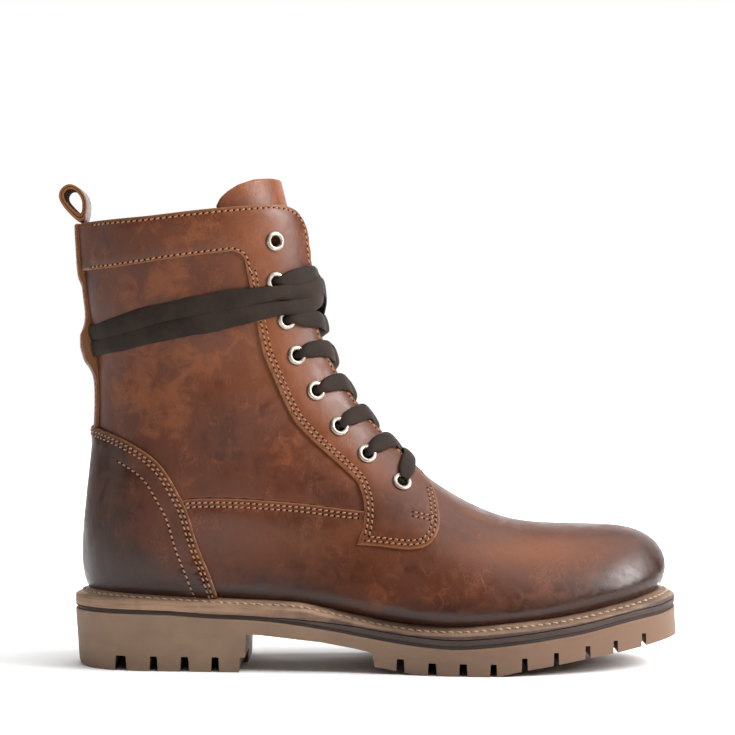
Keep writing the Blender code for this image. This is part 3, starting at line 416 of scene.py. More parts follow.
def thin_out(candidates, kept, step):
    """The candidates that stay at least step from the kept points and from each other."""
    cells = {}
    for p in surface(*kept.T):
        cells.setdefault(tuple((p // step).astype(int)), []).append(p)
    near = [(i, j, k) for i in (-1, 0, 1) for j in (-1, 0, 1) for k in (-1, 0, 1)]
    found = []
    limit = step * step
    for place, p in zip(candidates, surface(*candidates.T)):
        x, y, z = (int(c) for c in p // step)
        crowded = any((q[0] - p[0])**2 + (q[1] - p[1])**2 + (q[2] - p[2])**2 < limit
                      for i, j, k in near for q in cells.get((x + i, y + j, z + k), ()))
        if not crowded:
            cells.setdefault((x, y, z), []).append(p)
            found.append(place)
    return np.array(found).reshape(-1, 2)


def layout(loops, rows, step):
    """Vertices (u, angle) and triangles inside the loops, finer along the edges and the sewn rows."""
    low, high = np.vstack(loops).min(0), np.vstack(loops).max(0)
    middle = (low[1] + high[1]) / 2
    flat_loops = [unroll(loop, middle) for loop in loops]
    edge_tree = tree_of(np.vstack([dense(loop, True) for loop in loops]))
    places = np.vstack(loops)
    rings = [sideways(loop, side * reach, True) for loop in loops for reach in EDGE_RINGS for side in (1, -1)]
    sewn = [sideways(row, reach) if reach else row for row in rows
            for reach in (0, FURROW_REACH, -FURROW_REACH)]
    for group, spacing in ((rings, 0.5), (sewn, 0.8)):
        for ring in group:
            inside = ring[inside_loops(unroll(ring, middle), flat_loops)]
            if len(inside):
                inside = inside[distances(edge_tree, surface(*inside.T)) > 0.22]
            if len(inside):
                places = np.vstack([places, thin_out(inside, places, spacing)])
    grid = np.meshgrid(np.arange(max(0.2, low[0]), high[0], 0.06),
                       np.arange(low[1], high[1], math.radians(1.2)), indexing="ij")
    grid = np.stack(grid, -1).reshape(-1, 2)
    grid = grid[inside_loops(unroll(grid, middle), flat_loops)]
    places = np.vstack([places, thin_out(grid, places, step)])
    edges, start = [], 0
    for loop in loops:
        edges += [(start + i, start + (i + 1) % len(loop)) for i in range(len(loop))]
        start += len(loop)
    result = delaunay_2d_cdt([Vector(p) for p in unroll(places, middle)], edges, [], 0, 1e-6)
    corners = np.array([tuple(v) for v in result[0]])
    source = np.array([ids[0] if ids else -1 for ids in result[3]])
    triangles = np.array(result[2])
    chosen = triangles[inside_loops(corners[triangles].mean(1), flat_loops)]
    chosen = chosen[(source[chosen] >= 0).all(1)]
    return places[source], chosen, edge_tree


def weld(places, triangles):
    """Joins vertices that lie on the same spot of S and drops triangles that vanish."""
    spots, index = {}, []
    for i, p in enumerate(np.round(body(*places.T), 2)):
        index.append(spots.setdefault(tuple(p), i))
    index = np.array(index)[triangles]
    ordered = np.sort(index, axis=1)
    whole = (ordered[:, 0] != ordered[:, 1]) & (ordered[:, 1] != ordered[:, 2])
    index, ordered = index[whole], ordered[whole]
    _, first, count = np.unique(ordered, axis=0, return_index=True, return_counts=True)
    return index[np.sort(first[count == 1])]


def disc(u, angle, radius, count):
    """A circle on S around a point."""
    small = 1e-3
    d_u = (body(u + small, angle) - body(u - small, angle)) / (2 * small)
    d_a = (body(u, angle + small) - body(u, angle - small)) / (2 * small)
    normal = np.cross(d_u, d_a)
    normal /= np.linalg.norm(normal)
    first = d_u / np.linalg.norm(d_u)
    second = np.cross(normal, first)
    turn = np.arange(count) * 2 * math.pi / count
    ring = radius * (np.outer(np.cos(turn), first) + np.outer(np.sin(turn), second))
    steps = np.linalg.lstsq(np.stack([d_u, d_a], 1), ring.T, rcond=None)[0].T
    return steps + (u, angle)


# --- meshes ---------------------------------------------------------------------------------------
def add_object(name, data, place=(0, 0, 0), turn=(0, 0, 0)):
    obj = bpy.data.objects.new(name, data)
    bpy.context.scene.collection.objects.link(obj)
    obj.location = place
    obj.rotation_euler = turn
    return obj


def add_mesh(name, points, faces, material, owner="boot", smooth=50, attributes=None):
    """A mesh object from millimetre points, which rides on the body owner."""
    mesh = bpy.data.meshes.new(name)
    mesh.from_pydata((np.asarray(points, float) * MM).tolist(), [], [tuple(map(int, f)) for f in faces])
    mesh.update()
    obj = add_object(name, mesh)
    for key, values in (attributes or {}).items():
        layer = mesh.attributes.new(key, "FLOAT", "POINT")
        layer.data.foreach_set("value", np.asarray(values, np.float32))
    mesh.materials.append(material)
    mesh.shade_smooth()
    mesh.set_sharp_from_angle(angle=math.radians(smooth))
    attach(obj, owner)
    return obj


def loft_faces(rings, count, closed=False, start=0):
    """Quads between rings of count vertices each; a closed loft joins the last ring to the first."""
    faces = []
    for k in range(rings if closed else rings - 1):
        a, b = start + k * count, start + (k + 1) % rings * count
        faces += [(a + i, a + (i + 1) % count, b + (i + 1) % count, b + i) for i in range(count)]
    return faces


def cap_faces(rings, count, start=0):
    """The two polygons that close the first and the last ring."""
    last = start + (rings - 1) * count
    return [tuple(range(start, start + count))[::-1], tuple(range(last, last + count))]


def circle(count, first, second):
    """A unit circle in the plane of two directions."""
    turn = 2 * math.pi * np.arange(count) / count
    return np.outer(np.cos(turn), first) + np.outer(np.sin(turn), second)


def face_out(obj):
    """Turns every face of a closed mesh outwards."""
    mesh = bmesh.new()
    mesh.from_mesh(obj.data)
    bmesh.ops.recalc_face_normals(mesh, faces=mesh.faces[:])
    if mesh.calc_volume(signed=True) < 0:
        bmesh.ops.reverse_faces(mesh, faces=mesh.faces[:])
    mesh.to_mesh(obj.data)
    mesh.free()
    return obj


def ease(value, start, end):
    """0 at start, 1 at end, smooth between."""
    t = np.clip((np.asarray(value, float) - start) / (end - start), 0, 1)
    return t * t * (3 - 2 * t)


def wobble(points, size, seed=0.0):
    """Smooth noise from -1 to 1 at each point, with lumps about size across."""
    return np.array([noise.noise(Vector(p) / size + Vector((seed, 0.37 * seed, 0))) for p in points])


def burnish(points):
    """How far the leather is darkened: along the welt, at the toe and over the heel."""
    x, _, z = points.T
    rise = z - feather_z(x)
    reach = np.interp(x, [-150, -125, -100, -60, 0, 45, 80, 110, 132, 153],
                      [60, 42, 27, 17, 15, 17, 22, 29, 37, 41])
    low = 1 - ease(rise + 5 * wobble(points, 22.0, 3.0), 0.12 * reach, reach)
    heel = (1 - ease(x, -146, -112)) * (1 - ease(z, 95, 135)) * 0.75
    tip = ease(x, 128, 151) * 0.85
    return np.clip(1 - (1 - low) * (1 - heel) * (1 - tip), 0, 1)


def rub_and_highlight(points):
    """Where the finish is worn to a warmer, lighter brown by rubbing, plus a painted highlight along the
    eyestay.
    """
    x, _, z = points.T
    toe_band = np.exp(-((x - 82) / 34)**2 - ((z - 60) / 7.5)**2)
    wing = 0.45 * np.exp(-((x + 20) / 45)**2 - ((z - 66) / 12)**2)
    ankle = 0.35 * np.exp(-((x + 62) / 30)**2 - ((z - 150) / 18)**2)
    collar = 0.3 * np.exp(-((x + 85) / 30)**2 - ((z - 214) / 12)**2)
    # The band along the eyestay (stay) is a painted highlight, not wear.
    stay_x = np.interp(z, [90, 130, 170, 210], [4, -28, -46, -54])
    stay = 0.75 * np.exp(-((x - stay_x) / 15)**2) * ease(z, 82, 100)
    return np.clip(toe_band + wing + ankle + collar + stay, 0, 1)


def panel(name, loops, layer, material, step=3.0, rows=(), lift=None, owner="boot",
          bevel=0.7, raw=None, uneven=0.0):
    """A cut piece of leather or cloth between two heights over S, with rounded edges and sewn furrows.

    raw(places) from 0 to 1 says where the cut edge shows its uncoloured fibres.
    """
    loops = [np.array(loop) for loop in loops]
    places, triangles, edge_tree = layout(loops, rows, step)
    triangles = weld(places, triangles)
    used, triangles = np.unique(triangles, return_inverse=True)
    triangles = triangles.reshape(-1, 3)
    places = places[used]
    rest = surface(*places.T)
    edge = distances(edge_tree, rest)
    height = np.full(len(places), float(layer[1]))
    if lift is not None:
        height += lift(places)
    if uneven:
        height += uneven * wobble(rest, 34.0, 1.0) * np.clip(edge / 12, 0, 1)
    inside = np.clip(bevel - edge, 0, bevel)
    height -= bevel - np.sqrt(bevel**2 - inside**2)
    if rows:
        away = distances(tree_of(np.vstack([dense(row) for row in rows])), rest)
        height -= FURROW_DEPTH * np.exp(-(away / FURROW_WIDTH)**2)
    low = layer[0] + (0 if lift is None else np.minimum(lift(places), 0))
    outer, inner = surface(*places.T, height), surface(*places.T, low)
    a, b, c = outer[triangles].transpose(1, 0, 2)
    if (np.cross(b - a, c - a) * normals(*places.T)[triangles].mean(1)).sum() < 0:
        triangles = triangles[:, ::-1]
    sides = {(t[i], t[(i + 1) % 3]) for t in triangles.tolist() for i in range(3)}
    border = [e for e in sides if (e[1], e[0]) not in sides]
    border.sort()
    n = len(places)
    faces = triangles.tolist() + (triangles[:, ::-1] + n).tolist() + [(j, i, n + i, n + j) for i, j in border]
    open_fibre = np.ones(n) if raw is None else raw(places)
    attributes = {
        "raw": np.concatenate([open_fibre * (1 - ease(edge, 0.05, 0.6)) * 0.9, open_fibre]),
        "edge": np.concatenate([1 - ease(edge, 0.2, 2.2)] * 2),
        "burnish": np.concatenate([burnish(rest)] * 2),
        "warm": np.concatenate([rub_and_highlight(rest)] * 2),
    }
    return add_mesh(name, np.vstack([outer, inner]), faces, material, owner, 60, attributes)


# --- sewing ---------------------------------------------------------------------------------------
STITCH_SIDES = 6
STITCH_RUN = np.array([0.0, 0.18, 0.5, 0.82, 1.0])       # where a stitch's rings sit along it
STITCH_GIRTH = np.array([0.45, 0.95, 1.0, 0.95, 0.45])   # and how thick it is there


def stitch(middle, across, up, radius):
    """The points of one stitch: a short thread along middle that is thinner at both ends."""
    rings = [middle[i] + radius * STITCH_GIRTH[i] * circle(STITCH_SIDES, across[i], up[i])
             for i in range(len(middle))]
    return list(np.vstack(rings))


def stitch_faces(start):
    rings = len(STITCH_RUN)
    return loft_faces(rings, STITCH_SIDES, start=start) + cap_faces(rings, STITCH_SIDES, start)


class Thread:
    """Collects the stitches of one piece and the near-black plugs in its needle holes, which are painted
    shade, then makes two meshes of them.
    """
    HOLE_SIDES = 7

    def __init__(self):
        self.points, self.faces, self.holes, self.hole_faces = [], [], [], []

    def sew(self, path, height, pitch=3.0, radius=0.40, slant=0.24):
        """Lockstitches along a path on S; height is a number or a function of places."""
        path = np.asarray(path, float)
        run = length_of(path)
        count = max(1, round(run[-1] / pitch))
        marks = np.linspace(0, run[-1], count + 1)

        def level(places):
            return height(places) if callable(height) else np.full(len(places), float(height))

        span = run[-1] / count
        for first, last in zip(marks[:-1], marks[1:]):
            gap = 0.17 * span
            s = first + gap + (last - first - 2 * gap) * STITCH_RUN
            places = along_run(s, run, path)
            normal = normals(*places.T)
            rise = 0.34 * np.sin(math.pi * np.clip(STITCH_RUN, 0.04, 0.96)) - 0.16
            middle = surface(*places.T, level(places) + rise)
            along = unit(np.gradient(middle, axis=0))
            across = unit(np.cross(normal, along))
            middle = middle + across * (slant * (2 * STITCH_RUN - 1))[:, None]
            start = len(self.points)
            self.points += stitch(middle, 1.1 * across, normal, radius)
            self.faces += stitch_faces(start)
        # A near-black plug in each needle hole: painted shade of the hole.
        places = along_run(marks, run, path)
        centre = surface(*places.T, level(places) - 0.12)
        normal = normals(*places.T)
        along = unit(np.gradient(centre, axis=0))
        across = np.cross(normal, along)
        for p, up, side, ahead in zip(centre, normal, across, along):
            start = len(self.holes)
            spokes = circle(self.HOLE_SIDES, ahead, side)
            self.holes += list(p + 0.66 * spokes - 0.25 * up) + list(p + 0.50 * spokes + 0.30 * up)
            self.hole_faces += loft_faces(2, self.HOLE_SIDES, start=start)
            self.hole_faces += cap_faces(2, self.HOLE_SIDES, start)

    def finish(self, name, material):
        add_mesh("stitches_" + name, self.points, self.faces, material, "boot", 60)
        add_mesh("painted_hole_shade_" + name, self.holes, self.hole_faces, HOLE_SHADE, "boot", 40)


# --- materials ------------------------------------------------------------------------------------
class Shader:
    """A Principled material with a few short ways to add and link nodes."""

    def __init__(self, name, **fixed):
        self.material = bpy.data.materials.new(name)
        self.material.use_nodes = True
        self.tree = self.material.node_tree
        self.main = self.tree.nodes["Principled BSDF"]
        for key, value in fixed.items():
            self.main.inputs[key.replace("_", " ")].default_value = value
        self.place = self.node("TexCoord").outputs["Object"]

    def node(self, kind, inputs=None, **settings):
        made = self.tree.nodes.new("ShaderNode" + kind)
        for key, value in settings.items():
            setattr(made, key, value)
        for key, value in (inputs or {}).items():
            self.put(made.inputs[key], value)
        return made

    def put(self, socket, value):
        if isinstance(value, bpy.types.NodeSocket):
            self.tree.links.new(value, socket)
        else:
            socket.default_value = value

    def set(self, name, value):
        self.put(self.main.inputs[name], value)

    def attribute(self, name):
        return self.node("Attribute", attribute_name=name).outputs["Fac"]

    def stretched(self, scale, turn=(0, 0, 0)):
        return self.node("Mapping", {"Vector": self.place, "Scale": scale, "Rotation": turn}).outputs[0]

    def noise(self, size_mm, detail=3.0, rough=0.55, twist=0.0, place=None):
        made = self.node("TexNoise", {"Vector": place or self.place, "Scale": 1000.0 / size_mm,
                                      "Detail": detail, "Roughness": rough, "Distortion": twist})
        return made.outputs["Fac"]

    def cells(self, size_mm, feature="F1", place=None):
        made = self.node("TexVoronoi", {"Vector": place or self.place, "Scale": 1000.0 / size_mm},
                         feature=feature)
        return made.outputs["Distance"]

    def math(self, operation, a, b=0.0, clamp=False):
        return self.node("Math", {0: a, 1: b}, operation=operation, use_clamp=clamp).outputs[0]

    def times(self, a, b):
        return self.math("MULTIPLY", a, b)

    def fit(self, value, low, high, to_low=0.0, to_high=1.0):
        """The value's range from low to high, eased onto another range."""
        made = self.node("MapRange", {"Value": value, "From Min": low, "From Max": high, "To Min": to_low,
                                      "To Max": to_high}, interpolation_type="SMOOTHSTEP")
        return made.outputs["Result"]

    def blend(self, share, a, b):
        made = self.node("Mix", data_type="RGBA")
        for socket, value in ((made.inputs[0], share), (made.inputs[6], a), (made.inputs[7], b)):
            self.put(socket, value if isinstance(value, (bpy.types.NodeSocket, float, int)) else (*value, 1))
        return made.outputs[2]

    def bump(self, height, strength, distance_mm, under=None):
        made = self.node("Bump", {"Height": height, "Strength": strength, "Distance": distance_mm * MM})
        if under:
            self.put(made.inputs["Normal"], under)
        return made.outputs[0]


def tinted(factor):
    """The four leather tones, all darker or lighter by a factor."""
    return [tuple(factor * c for c in tone) for tone in LEATHER_TONES]


def leather(name, dark, middle, warm, deep, rough=(0.34, 0.52), seed=0.0, shine=1.0):
    """Oiled pull-up leather: mottled, burnished low down, lighter where it is worn by rubbing or scratched,
    and with a painted highlight along the eyestays.
    """
    s = Shader(name, Coat_Weight=0.06 * shine, Coat_Roughness=0.30, Specular_IOR_Level=0.03 + 0.30 * shine)
    place = s.node("Mapping", {"Vector": s.place, "Location": (seed, 0.3 * seed, 0)}).outputs[0]
    clouds = s.noise(58, 3, 0.55, 0.4, place)
    mottle = s.noise(11, 5, 0.62, 0.8, place)
    tone = s.math("ADD", s.times(clouds, 0.62), s.times(mottle, 0.38))
    colour = s.blend(s.fit(tone, 0.36, 0.50), dark, middle)
    # The warm attribute adds wear from rubbing and a painted highlight along the eyestays.
    rub_and_highlight_share = s.math("MAXIMUM", s.fit(tone, 0.53, 0.64, 0.0, 0.5), s.times(s.attribute("warm"), 0.62))
    colour = s.blend(rub_and_highlight_share, colour, warm)
    tall = s.node("Mapping", {"Vector": place, "Scale": (1.3, 1.3, 0.42)}).outputs[0]
    curled = s.node("TexNoise", {"Vector": place, "Scale": 260.0, "Detail": 4.0, "Roughness": 0.65})
    curl = s.node("VectorMath", {0: curled.outputs["Color"], 3: 0.011}, operation="SCALE").outputs[0]
    bent = s.node("VectorMath", {0: tall, 1: curl}, operation="ADD").outputs[0]
    vein = s.fit(s.cells(6.5, "DISTANCE_TO_EDGE", bent), 0.0, 0.11, 1.0, 0.0)
    vein = s.times(vein, s.fit(s.noise(16, 3, 0.6, 0.5, place), 0.50, 0.74))
    hair = s.fit(s.cells(3.0, "DISTANCE_TO_EDGE", bent), 0.0, 0.14, 1.0, 0.0)
    hair = s.times(hair, s.fit(s.noise(13, 3, 0.6, 0.3, tall), 0.50, 0.72))
    lines = s.math("MAXIMUM", vein, s.times(hair, 0.8))
    colour = s.blend(s.times(lines, 0.30), colour, tuple(min(1, 1.35 * c) for c in warm))
    freckle = s.fit(s.noise(2.2, 2, 0.6, 0.0, place), 0.60, 0.74, 0.0, 0.30)
    colour = s.blend(freckle, colour, dark)
    burn = s.times(s.attribute("burnish"), s.fit(mottle, 0.25, 0.7, 1.0, 0.80))
    colour = s.blend(burn, colour, deep)
    colour = s.blend(s.times(s.attribute("edge"), 0.30), colour, warm)
    fibre = s.blend(s.noise(0.9, 3, 0.6), (0.125, 0.048, 0.017), (0.26, 0.108, 0.038))
    colour = s.blend(s.attribute("raw"), colour, fibre)
    s.set("Base Color", colour)
    gloss = s.math("ADD", s.fit(mottle, 0.3, 0.7, rough[0], rough[1]), s.times(lines, 0.10))
    gloss = s.math("SUBTRACT", gloss, s.times(s.attribute("burnish"), 0.06))
    s.set("Roughness", s.math("ADD", gloss, s.times(s.attribute("raw"), 0.4), True))
    pores = s.fit(s.cells(0.85, "F1"), 0.0, 0.75)
    normal = s.bump(s.noise(26, 3, 0.5, 0.3, place), 0.35, 1.3)
    normal = s.bump(lines, 0.30, 0.18, normal)
    normal = s.bump(s.noise(3.2, 4, 0.6, 0.4, place), 0.30, 0.16, normal)
    s.set("Normal", s.bump(pores, 0.22, 0.06, normal))
    return s.material


def thread(name, pale, dark):
    s = Shader(name, Specular_IOR_Level=0.35, Sheen_Weight=0.25, Sheen_Roughness=0.5)
    s.set("Base Color", s.blend(s.noise(1.1, 3, 0.6), dark, pale))
    s.set("Roughness", s.fit(s.noise(4, 2), 0.3, 0.7, 0.5, 0.75))
    slanted = s.stretched((1, 1, 1), (0.4, 0.6, 0.3))
    twist = s.node("TexWave", {"Vector": slanted, "Scale": 300.0, "Distortion": 0.6})
    s.set("Normal", s.bump(twist.outputs["Fac"], 0.5, 0.1))
    return s.material


# Near-black material of the needle-hole plugs: painted shade.
def hole_shade_material():
    s = Shader("needle_hole", Specular_IOR_Level=0.05)
    s.set("Base Color", s.blend(s.noise(0.6, 1), (0.010, 0.005, 0.003), (0.022, 0.010, 0.006)))
    s.set("Roughness", s.fit(s.noise(0.6, 1), 0.3, 0.7, 0.85, 0.98))
    return s.material


def lace_cotton():
    """Waxed flat cotton: a fine herringbone that follows the lace, with fuzz and pale lint."""
    s = Shader("lace_cotton", Specular_IOR_Level=0.10, Sheen_Weight=0.03, Sheen_Roughness=0.4)
    uv = s.node("UVMap", uv_map="lace").outputs[0]
    ribs = []
    for lean in (0.6, -0.6):
        leaning = s.node("Mapping", {"Vector": uv, "Rotation": (0, 0, lean)}).outputs[0]
        ribs.append(s.node("TexWave", {"Vector": leaning, "Scale": 0.52, "Distortion": 0.4, "Detail": 1.0},
                           bands_direction="X").outputs["Fac"])
    weave = s.times(*ribs)
    worn = s.noise(14, 4, 0.6)
    colour = s.blend(s.fit(worn, 0.35, 0.68), (0.0125, 0.0078, 0.0056), (0.026, 0.0170, 0.0128))
    colour = s.blend(s.times(s.fit(weave, 0.1, 0.6), 0.40), colour, (0.042, 0.027, 0.020))
    lint = s.fit(s.noise(1.3, 2, 0.7), 0.71, 0.78, 0.0, 0.5)
    s.set("Base Color", s.blend(lint, colour, (0.15, 0.115, 0.09)))
    s.set("Roughness", s.fit(worn, 0.3, 0.7, 0.52, 0.74))
    normal = s.bump(s.noise(6, 3, 0.6, 0.5), 0.35, 0.5)
    s.set("Normal", s.bump(weave, 0.55, 0.16, normal))
    return s.material


def nickel():
    s = Shader("eyelet_nickel", Metallic=1.0)
    tarnish = s.fit(s.noise(4, 4, 0.65), 0.35, 0.7)
    s.set("Base Color", s.blend(tarnish, (0.25, 0.215, 0.18), (0.40, 0.35, 0.30)))
    s.set("Roughness", s.fit(s.noise(1.5, 4, 0.7), 0.3, 0.7, 0.32, 0.48))
    s.set("Normal", s.bump(s.noise(0.8, 3, 0.6), 0.12, 0.05))
    return s.material


def rubber():
    """Tan moulded rubber: faint flow marks, scuffs and a fine matt skin."""
    s = Shader("sole_rubber", Specular_IOR_Level=0.4)
    clouds = s.noise(40, 3, 0.55)
    colour = s.blend(s.fit(clouds, 0.35, 0.65), (0.185, 0.113, 0.070), (0.235, 0.148, 0.093))
    streak = s.noise(7, 4, 0.6, 0.2, s.stretched((0.35, 0.35, 1.6)))
    colour = s.blend(s.fit(streak, 0.50, 0.72, 0.0, 0.35), colour, (0.150, 0.090, 0.056))
    position = s.node("SeparateXYZ", {0: s.place})
    colour = s.blend(s.fit(position.outputs["X"], -0.04, 0.09, 0.0, 0.70), colour, (0.142, 0.072, 0.043))
    colour = s.blend(s.fit(position.outputs["Z"], 0.0005, 0.012, 0.30, 0.0), colour, (0.10, 0.062, 0.042))
    colour = s.blend(s.fit(s.noise(1.0, 2, 0.7), 0.66, 0.76, 0.0, 0.35), colour, (0.30, 0.20, 0.13))
    s.set("Base Color", colour)
    s.set("Roughness", s.fit(clouds, 0.3, 0.7, 0.50, 0.66))
    normal = s.bump(s.noise(9, 3, 0.5), 0.15, 0.4)
    s.set("Normal", s.bump(s.noise(0.7, 4, 0.7), 0.28, 0.06, normal))
    return s.material


def stacked(name, pale, dark, grain=1.0):
    """Welt and midsole edge: pale on top and at the heel, stained dark along the forefoot ("dark"); on the
    welt, "dark" also holds painted shade where the welt meets the upper.
    """
    s = Shader(name, Specular_IOR_Level=0.4)
    stain_and_shade_share = s.math("ADD", s.attribute("dark"), s.fit(s.noise(9, 4, 0.6), 0.3, 0.7, -0.16, 0.16), True)
    colour = s.blend(stain_and_shade_share, pale, dark)
    layers = s.noise(5, 4, 0.6, 0.1, s.stretched((0.12, 0.12, 3.0)))
    colour = s.blend(s.fit(layers, 0.45, 0.72, 0.0, 0.45 * grain), colour, tuple(0.62 * c for c in dark))
    colour = s.blend(s.fit(s.noise(1.6, 3, 0.6), 0.62, 0.75, 0.0, 0.30), colour, tuple(1.5 * c for c in pale))
    s.set("Base Color", colour)
    s.set("Roughness", s.fit(layers, 0.3, 0.7, 0.5, 0.7))
    normal = s.bump(layers, 0.30, 0.25)
    s.set("Normal", s.bump(s.noise(0.9, 3, 0.6), 0.2, 0.06, normal))
    return s.material


def fabric(name, pale, dark, size_mm, strength, sheen=0.4):
    """Brushed textile: a short, uneven pile."""
    s = Shader(name, Specular_IOR_Level=0.2, Sheen_Weight=sheen, Sheen_Roughness=0.6)
    pile = s.noise(size_mm, 4, 0.7, 0.8)
    s.set("Base Color", s.blend(s.math("ADD", s.times(pile, 0.7), s.times(s.noise(25, 2), 0.3)),
                                dark, pale))
    s.set("Roughness", s.fit(pile, 0.3, 0.7, 0.82, 0.97))
    normal = s.bump(s.cells(size_mm * 1.3, "F1"), strength * 0.5, 0.5)
    s.set("Normal", s.bump(pile, strength, 0.5, normal))
    return s.material


def grained(name, pale, dark, size_mm, rough, metallic=0.0, stretch=(1, 1, 1)):
    """Board, cork and steel inside the bottom unit."""
    s = Shader(name, Metallic=metallic)
    grain = s.noise(size_mm, 4, 0.65, 0.2, s.stretched(stretch))
    s.set("Base Color", s.blend(s.fit(grain, 0.35, 0.65), dark, pale))
    s.set("Roughness", s.fit(grain, 0.3, 0.7, rough - 0.08, rough + 0.08))
    s.set("Normal", s.bump(grain, 0.3, 0.1))
    return s.material


# Dark and middle mottling, places worn lighter by rubbing together with the painted highlight on the
# eyestays, burnished places.
LEATHER_TONES = ((0.034, 0.0088, 0.0036), (0.070, 0.0165, 0.0046), (0.200, 0.0540, 0.0105),
                 (0.022, 0.0085, 0.0056))
HOLE_SHADE = hole_shade_material()
UPPER = leather("upper_leather", *LEATHER_TONES)
COUNTER = leather("counter_leather", *tinted(0.86), seed=0.4)
STRAP_LEATHER = leather("strap_leather", *LEATHER_TONES, seed=0.9)
LOOP_LINING = leather("loop_lining", *LEATHER_TONES, rough=(0.85, 0.98), seed=0.5, shine=0.0)
# The tongue is the upper's leather tinted 1.3 times lighter: a painted highlight.
TONGUE_LEATHER_HIGHLIT = leather("tongue_leather", *tinted(1.3), rough=(0.40, 0.56), seed=1.3)
SEAM_THREAD = thread("seam_thread", (0.36, 0.165, 0.060), (0.20, 0.080, 0.028))
WELT_THREAD = thread("welt_thread", (0.42, 0.29, 0.19), (0.26, 0.165, 0.10))
COTTON = lace_cotton()
NICKEL = nickel()
RUBBER = rubber()
WELT = stacked("welt_rand", (0.290, 0.175, 0.108), (0.056, 0.030, 0.023))
MIDSOLE = stacked("midsole_edge", (0.072, 0.040, 0.027), (0.024, 0.014, 0.012), grain=0.6)
PILE = fabric("lining_pile", (0.36, 0.26, 0.17), (0.19, 0.125, 0.075), 1.6, 0.6)
BINDING = leather("collar_binding", (0.05, 0.024, 0.016), (0.085, 0.036, 0.02), (0.12, 0.05, 0.024),
                  (0.029, 0.016, 0.0135), seed=2.1)
FOOTBED_CLOTH = fabric("footbed_cloth", (0.30, 0.24, 0.18), (0.15, 0.11, 0.08), 1.0, 0.35, 0.3)
FELT = fabric("insulation_felt", (0.62, 0.60, 0.55), (0.42, 0.40, 0.36), 2.2, 0.6)
BOARD = grained("fibreboard", (0.46, 0.33, 0.20), (0.30, 0.20, 0.11), 2.5, 0.8)
CORK = grained("cork", (0.44, 0.28, 0.15), (0.14, 0.07, 0.03), 2.0, 0.88)
STEEL = grained("shank_steel", (0.56, 0.56, 0.57), (0.40, 0.40, 0.42), 1.2, 0.36, 1.0, (0.1, 1, 1))


# --- upper ----------------------------------------------------------------------------------------
EDGE_STEP = 1.6
LAPPED = 1.7                 # height of a leather laid over another
UNDERLAP = -0.1              # and how far its underside dips into the one below
STRAP_TOP = 1.45
STRAP_HALF_WIDTH = 10.0
SUNK = 0.28                  # the stitches' centre lines lie this much below the leather's outside
WING_LAP = 1.25              # the vamp's wing stands this much higher along its top edge
UPPER_LIFT = -1.5            # the upper runs down behind the welt
WING_PATH = seen(WING_EDGE, EDGE_STEP)
WING_END_PATH = seen(WING_END, EDGE_STEP)
BAND_PATH = seen(BAND_EDGE, EDGE_STEP)
COUNTER_PATH = seen(COUNTER_EDGE, EDGE_STEP)
COLLAR_PATH = seen(COLLAR_TOP, EDGE_STEP)
FOOT_PATH = seen(STAY_FOOT, EDGE_STEP)
WING_TREE = tree_of(dense(WING_PATH))
STAY_PLACE = locate(-20, 130)
BAND_PLACE = locate(-110, 212)
FOOT_PLACE = locate(12, 75)
WING_PLACE = locate(-40, 60)
COUNTER_PLACE = locate(-125, 70)


def mirrored(paths, side):
    """Paths on the lateral side, or their mirror images on the medial side."""
    return [np.array(path) if side > 0 else other_side(path, 0) for path in paths]


def keep_where(path, test):
    """The longest part of a path whose places seen from the side pass test(x, z)."""
    points = body(*np.asarray(path).T)
    good = [bool(test(p[0], p[2])) for p in points]
    runs, start = [], None
    for i, g in enumerate(good + [False]):
        if g and start is None:
            start = i
        if not g and start is not None:
            runs.append((i - start, start, i))
            start = None
    _, first, last = max(runs)
    return np.asarray(path)[first:last]


def joined(*paths):
    """Open paths laid end to end, nearest ends together."""
    whole = np.asarray(paths[0])
    for path in paths[1:]:
        path = np.asarray(path)
        to_first, to_last = (np.linalg.norm(body(*whole[-1]) - body(*path[end])) for end in (0, -1))
        if to_first > to_last:
            path = path[::-1]
        whole = np.vstack([whole, path])
    return whole


TOP_TURN = seen([(-47.0, 231.8), (-41.5, 231.1), (-37.2, 229.2), (-34.0, 225.6), (-32.3, 221.0)], EDGE_STEP)
TOP_EDGE = joined(keep_where(COLLAR_PATH, lambda x, z: x < -48), TOP_TURN,
                  along_facing(22.75, 10.1, EDGE_STEP))
TOP_ROW = keep_where(beside(TOP_EDGE, 1.8, STAY_PLACE), lambda x, z: x > -137.5 and z > 92)
BAND_ROW = keep_where(beside(BAND_PATH, 1.4, BAND_PLACE), lambda x, z: -137.5 < x < -58.5)
STAY_ROWS = [keep_where(beside(BAND_PATH, d, STAY_PLACE), lambda x, z: x > -60.5 and 66 < z < 200)
             for d in (2.0, 4.1)]
FOOT_ROWS = [keep_where(beside(FOOT_PATH, d, FOOT_PLACE), lambda x, z, d=d: x > -3.2 + d and z < 90)
             for d in (2.0, 4.1)]
TACK_ROWS = [seen([(33.2, 75.4 + d), (28.0, 76.7 + d), (22.4, 78.0 + d)], 1.5) for d in (0, -2.0)]
WING_ROWS = [keep_where(beside(WING_PATH, d, WING_PLACE), lambda x, z: -92 < x < -3.5) for d in (2.0, 4.0)]
COUNTER_ROWS = [beside(COUNTER_PATH, d, COUNTER_PLACE) for d in (2.0, 3.9)]
COUNTER_FAR_ROW = keep_where(beside(COUNTER_PATH, 11.0, COUNTER_PLACE), lambda x, z: z < 104)


def wing_lift(places):
    """The vamp laps over the quarter along the wing's top edge and thins out below it."""
    return WING_LAP * (1 - ease(distances(WING_TREE, surface(*places.T)), 6.0, 26.0))


def hidden_low(places):
    """No raw edge where a piece runs down behind the welt, or at the very tip of the toe."""
    points = body(*places.T)
    return ease(points[:, 2] - feather_z(points[:, 0]), 0.5, 2.0) * (points[:, 0] < 140)


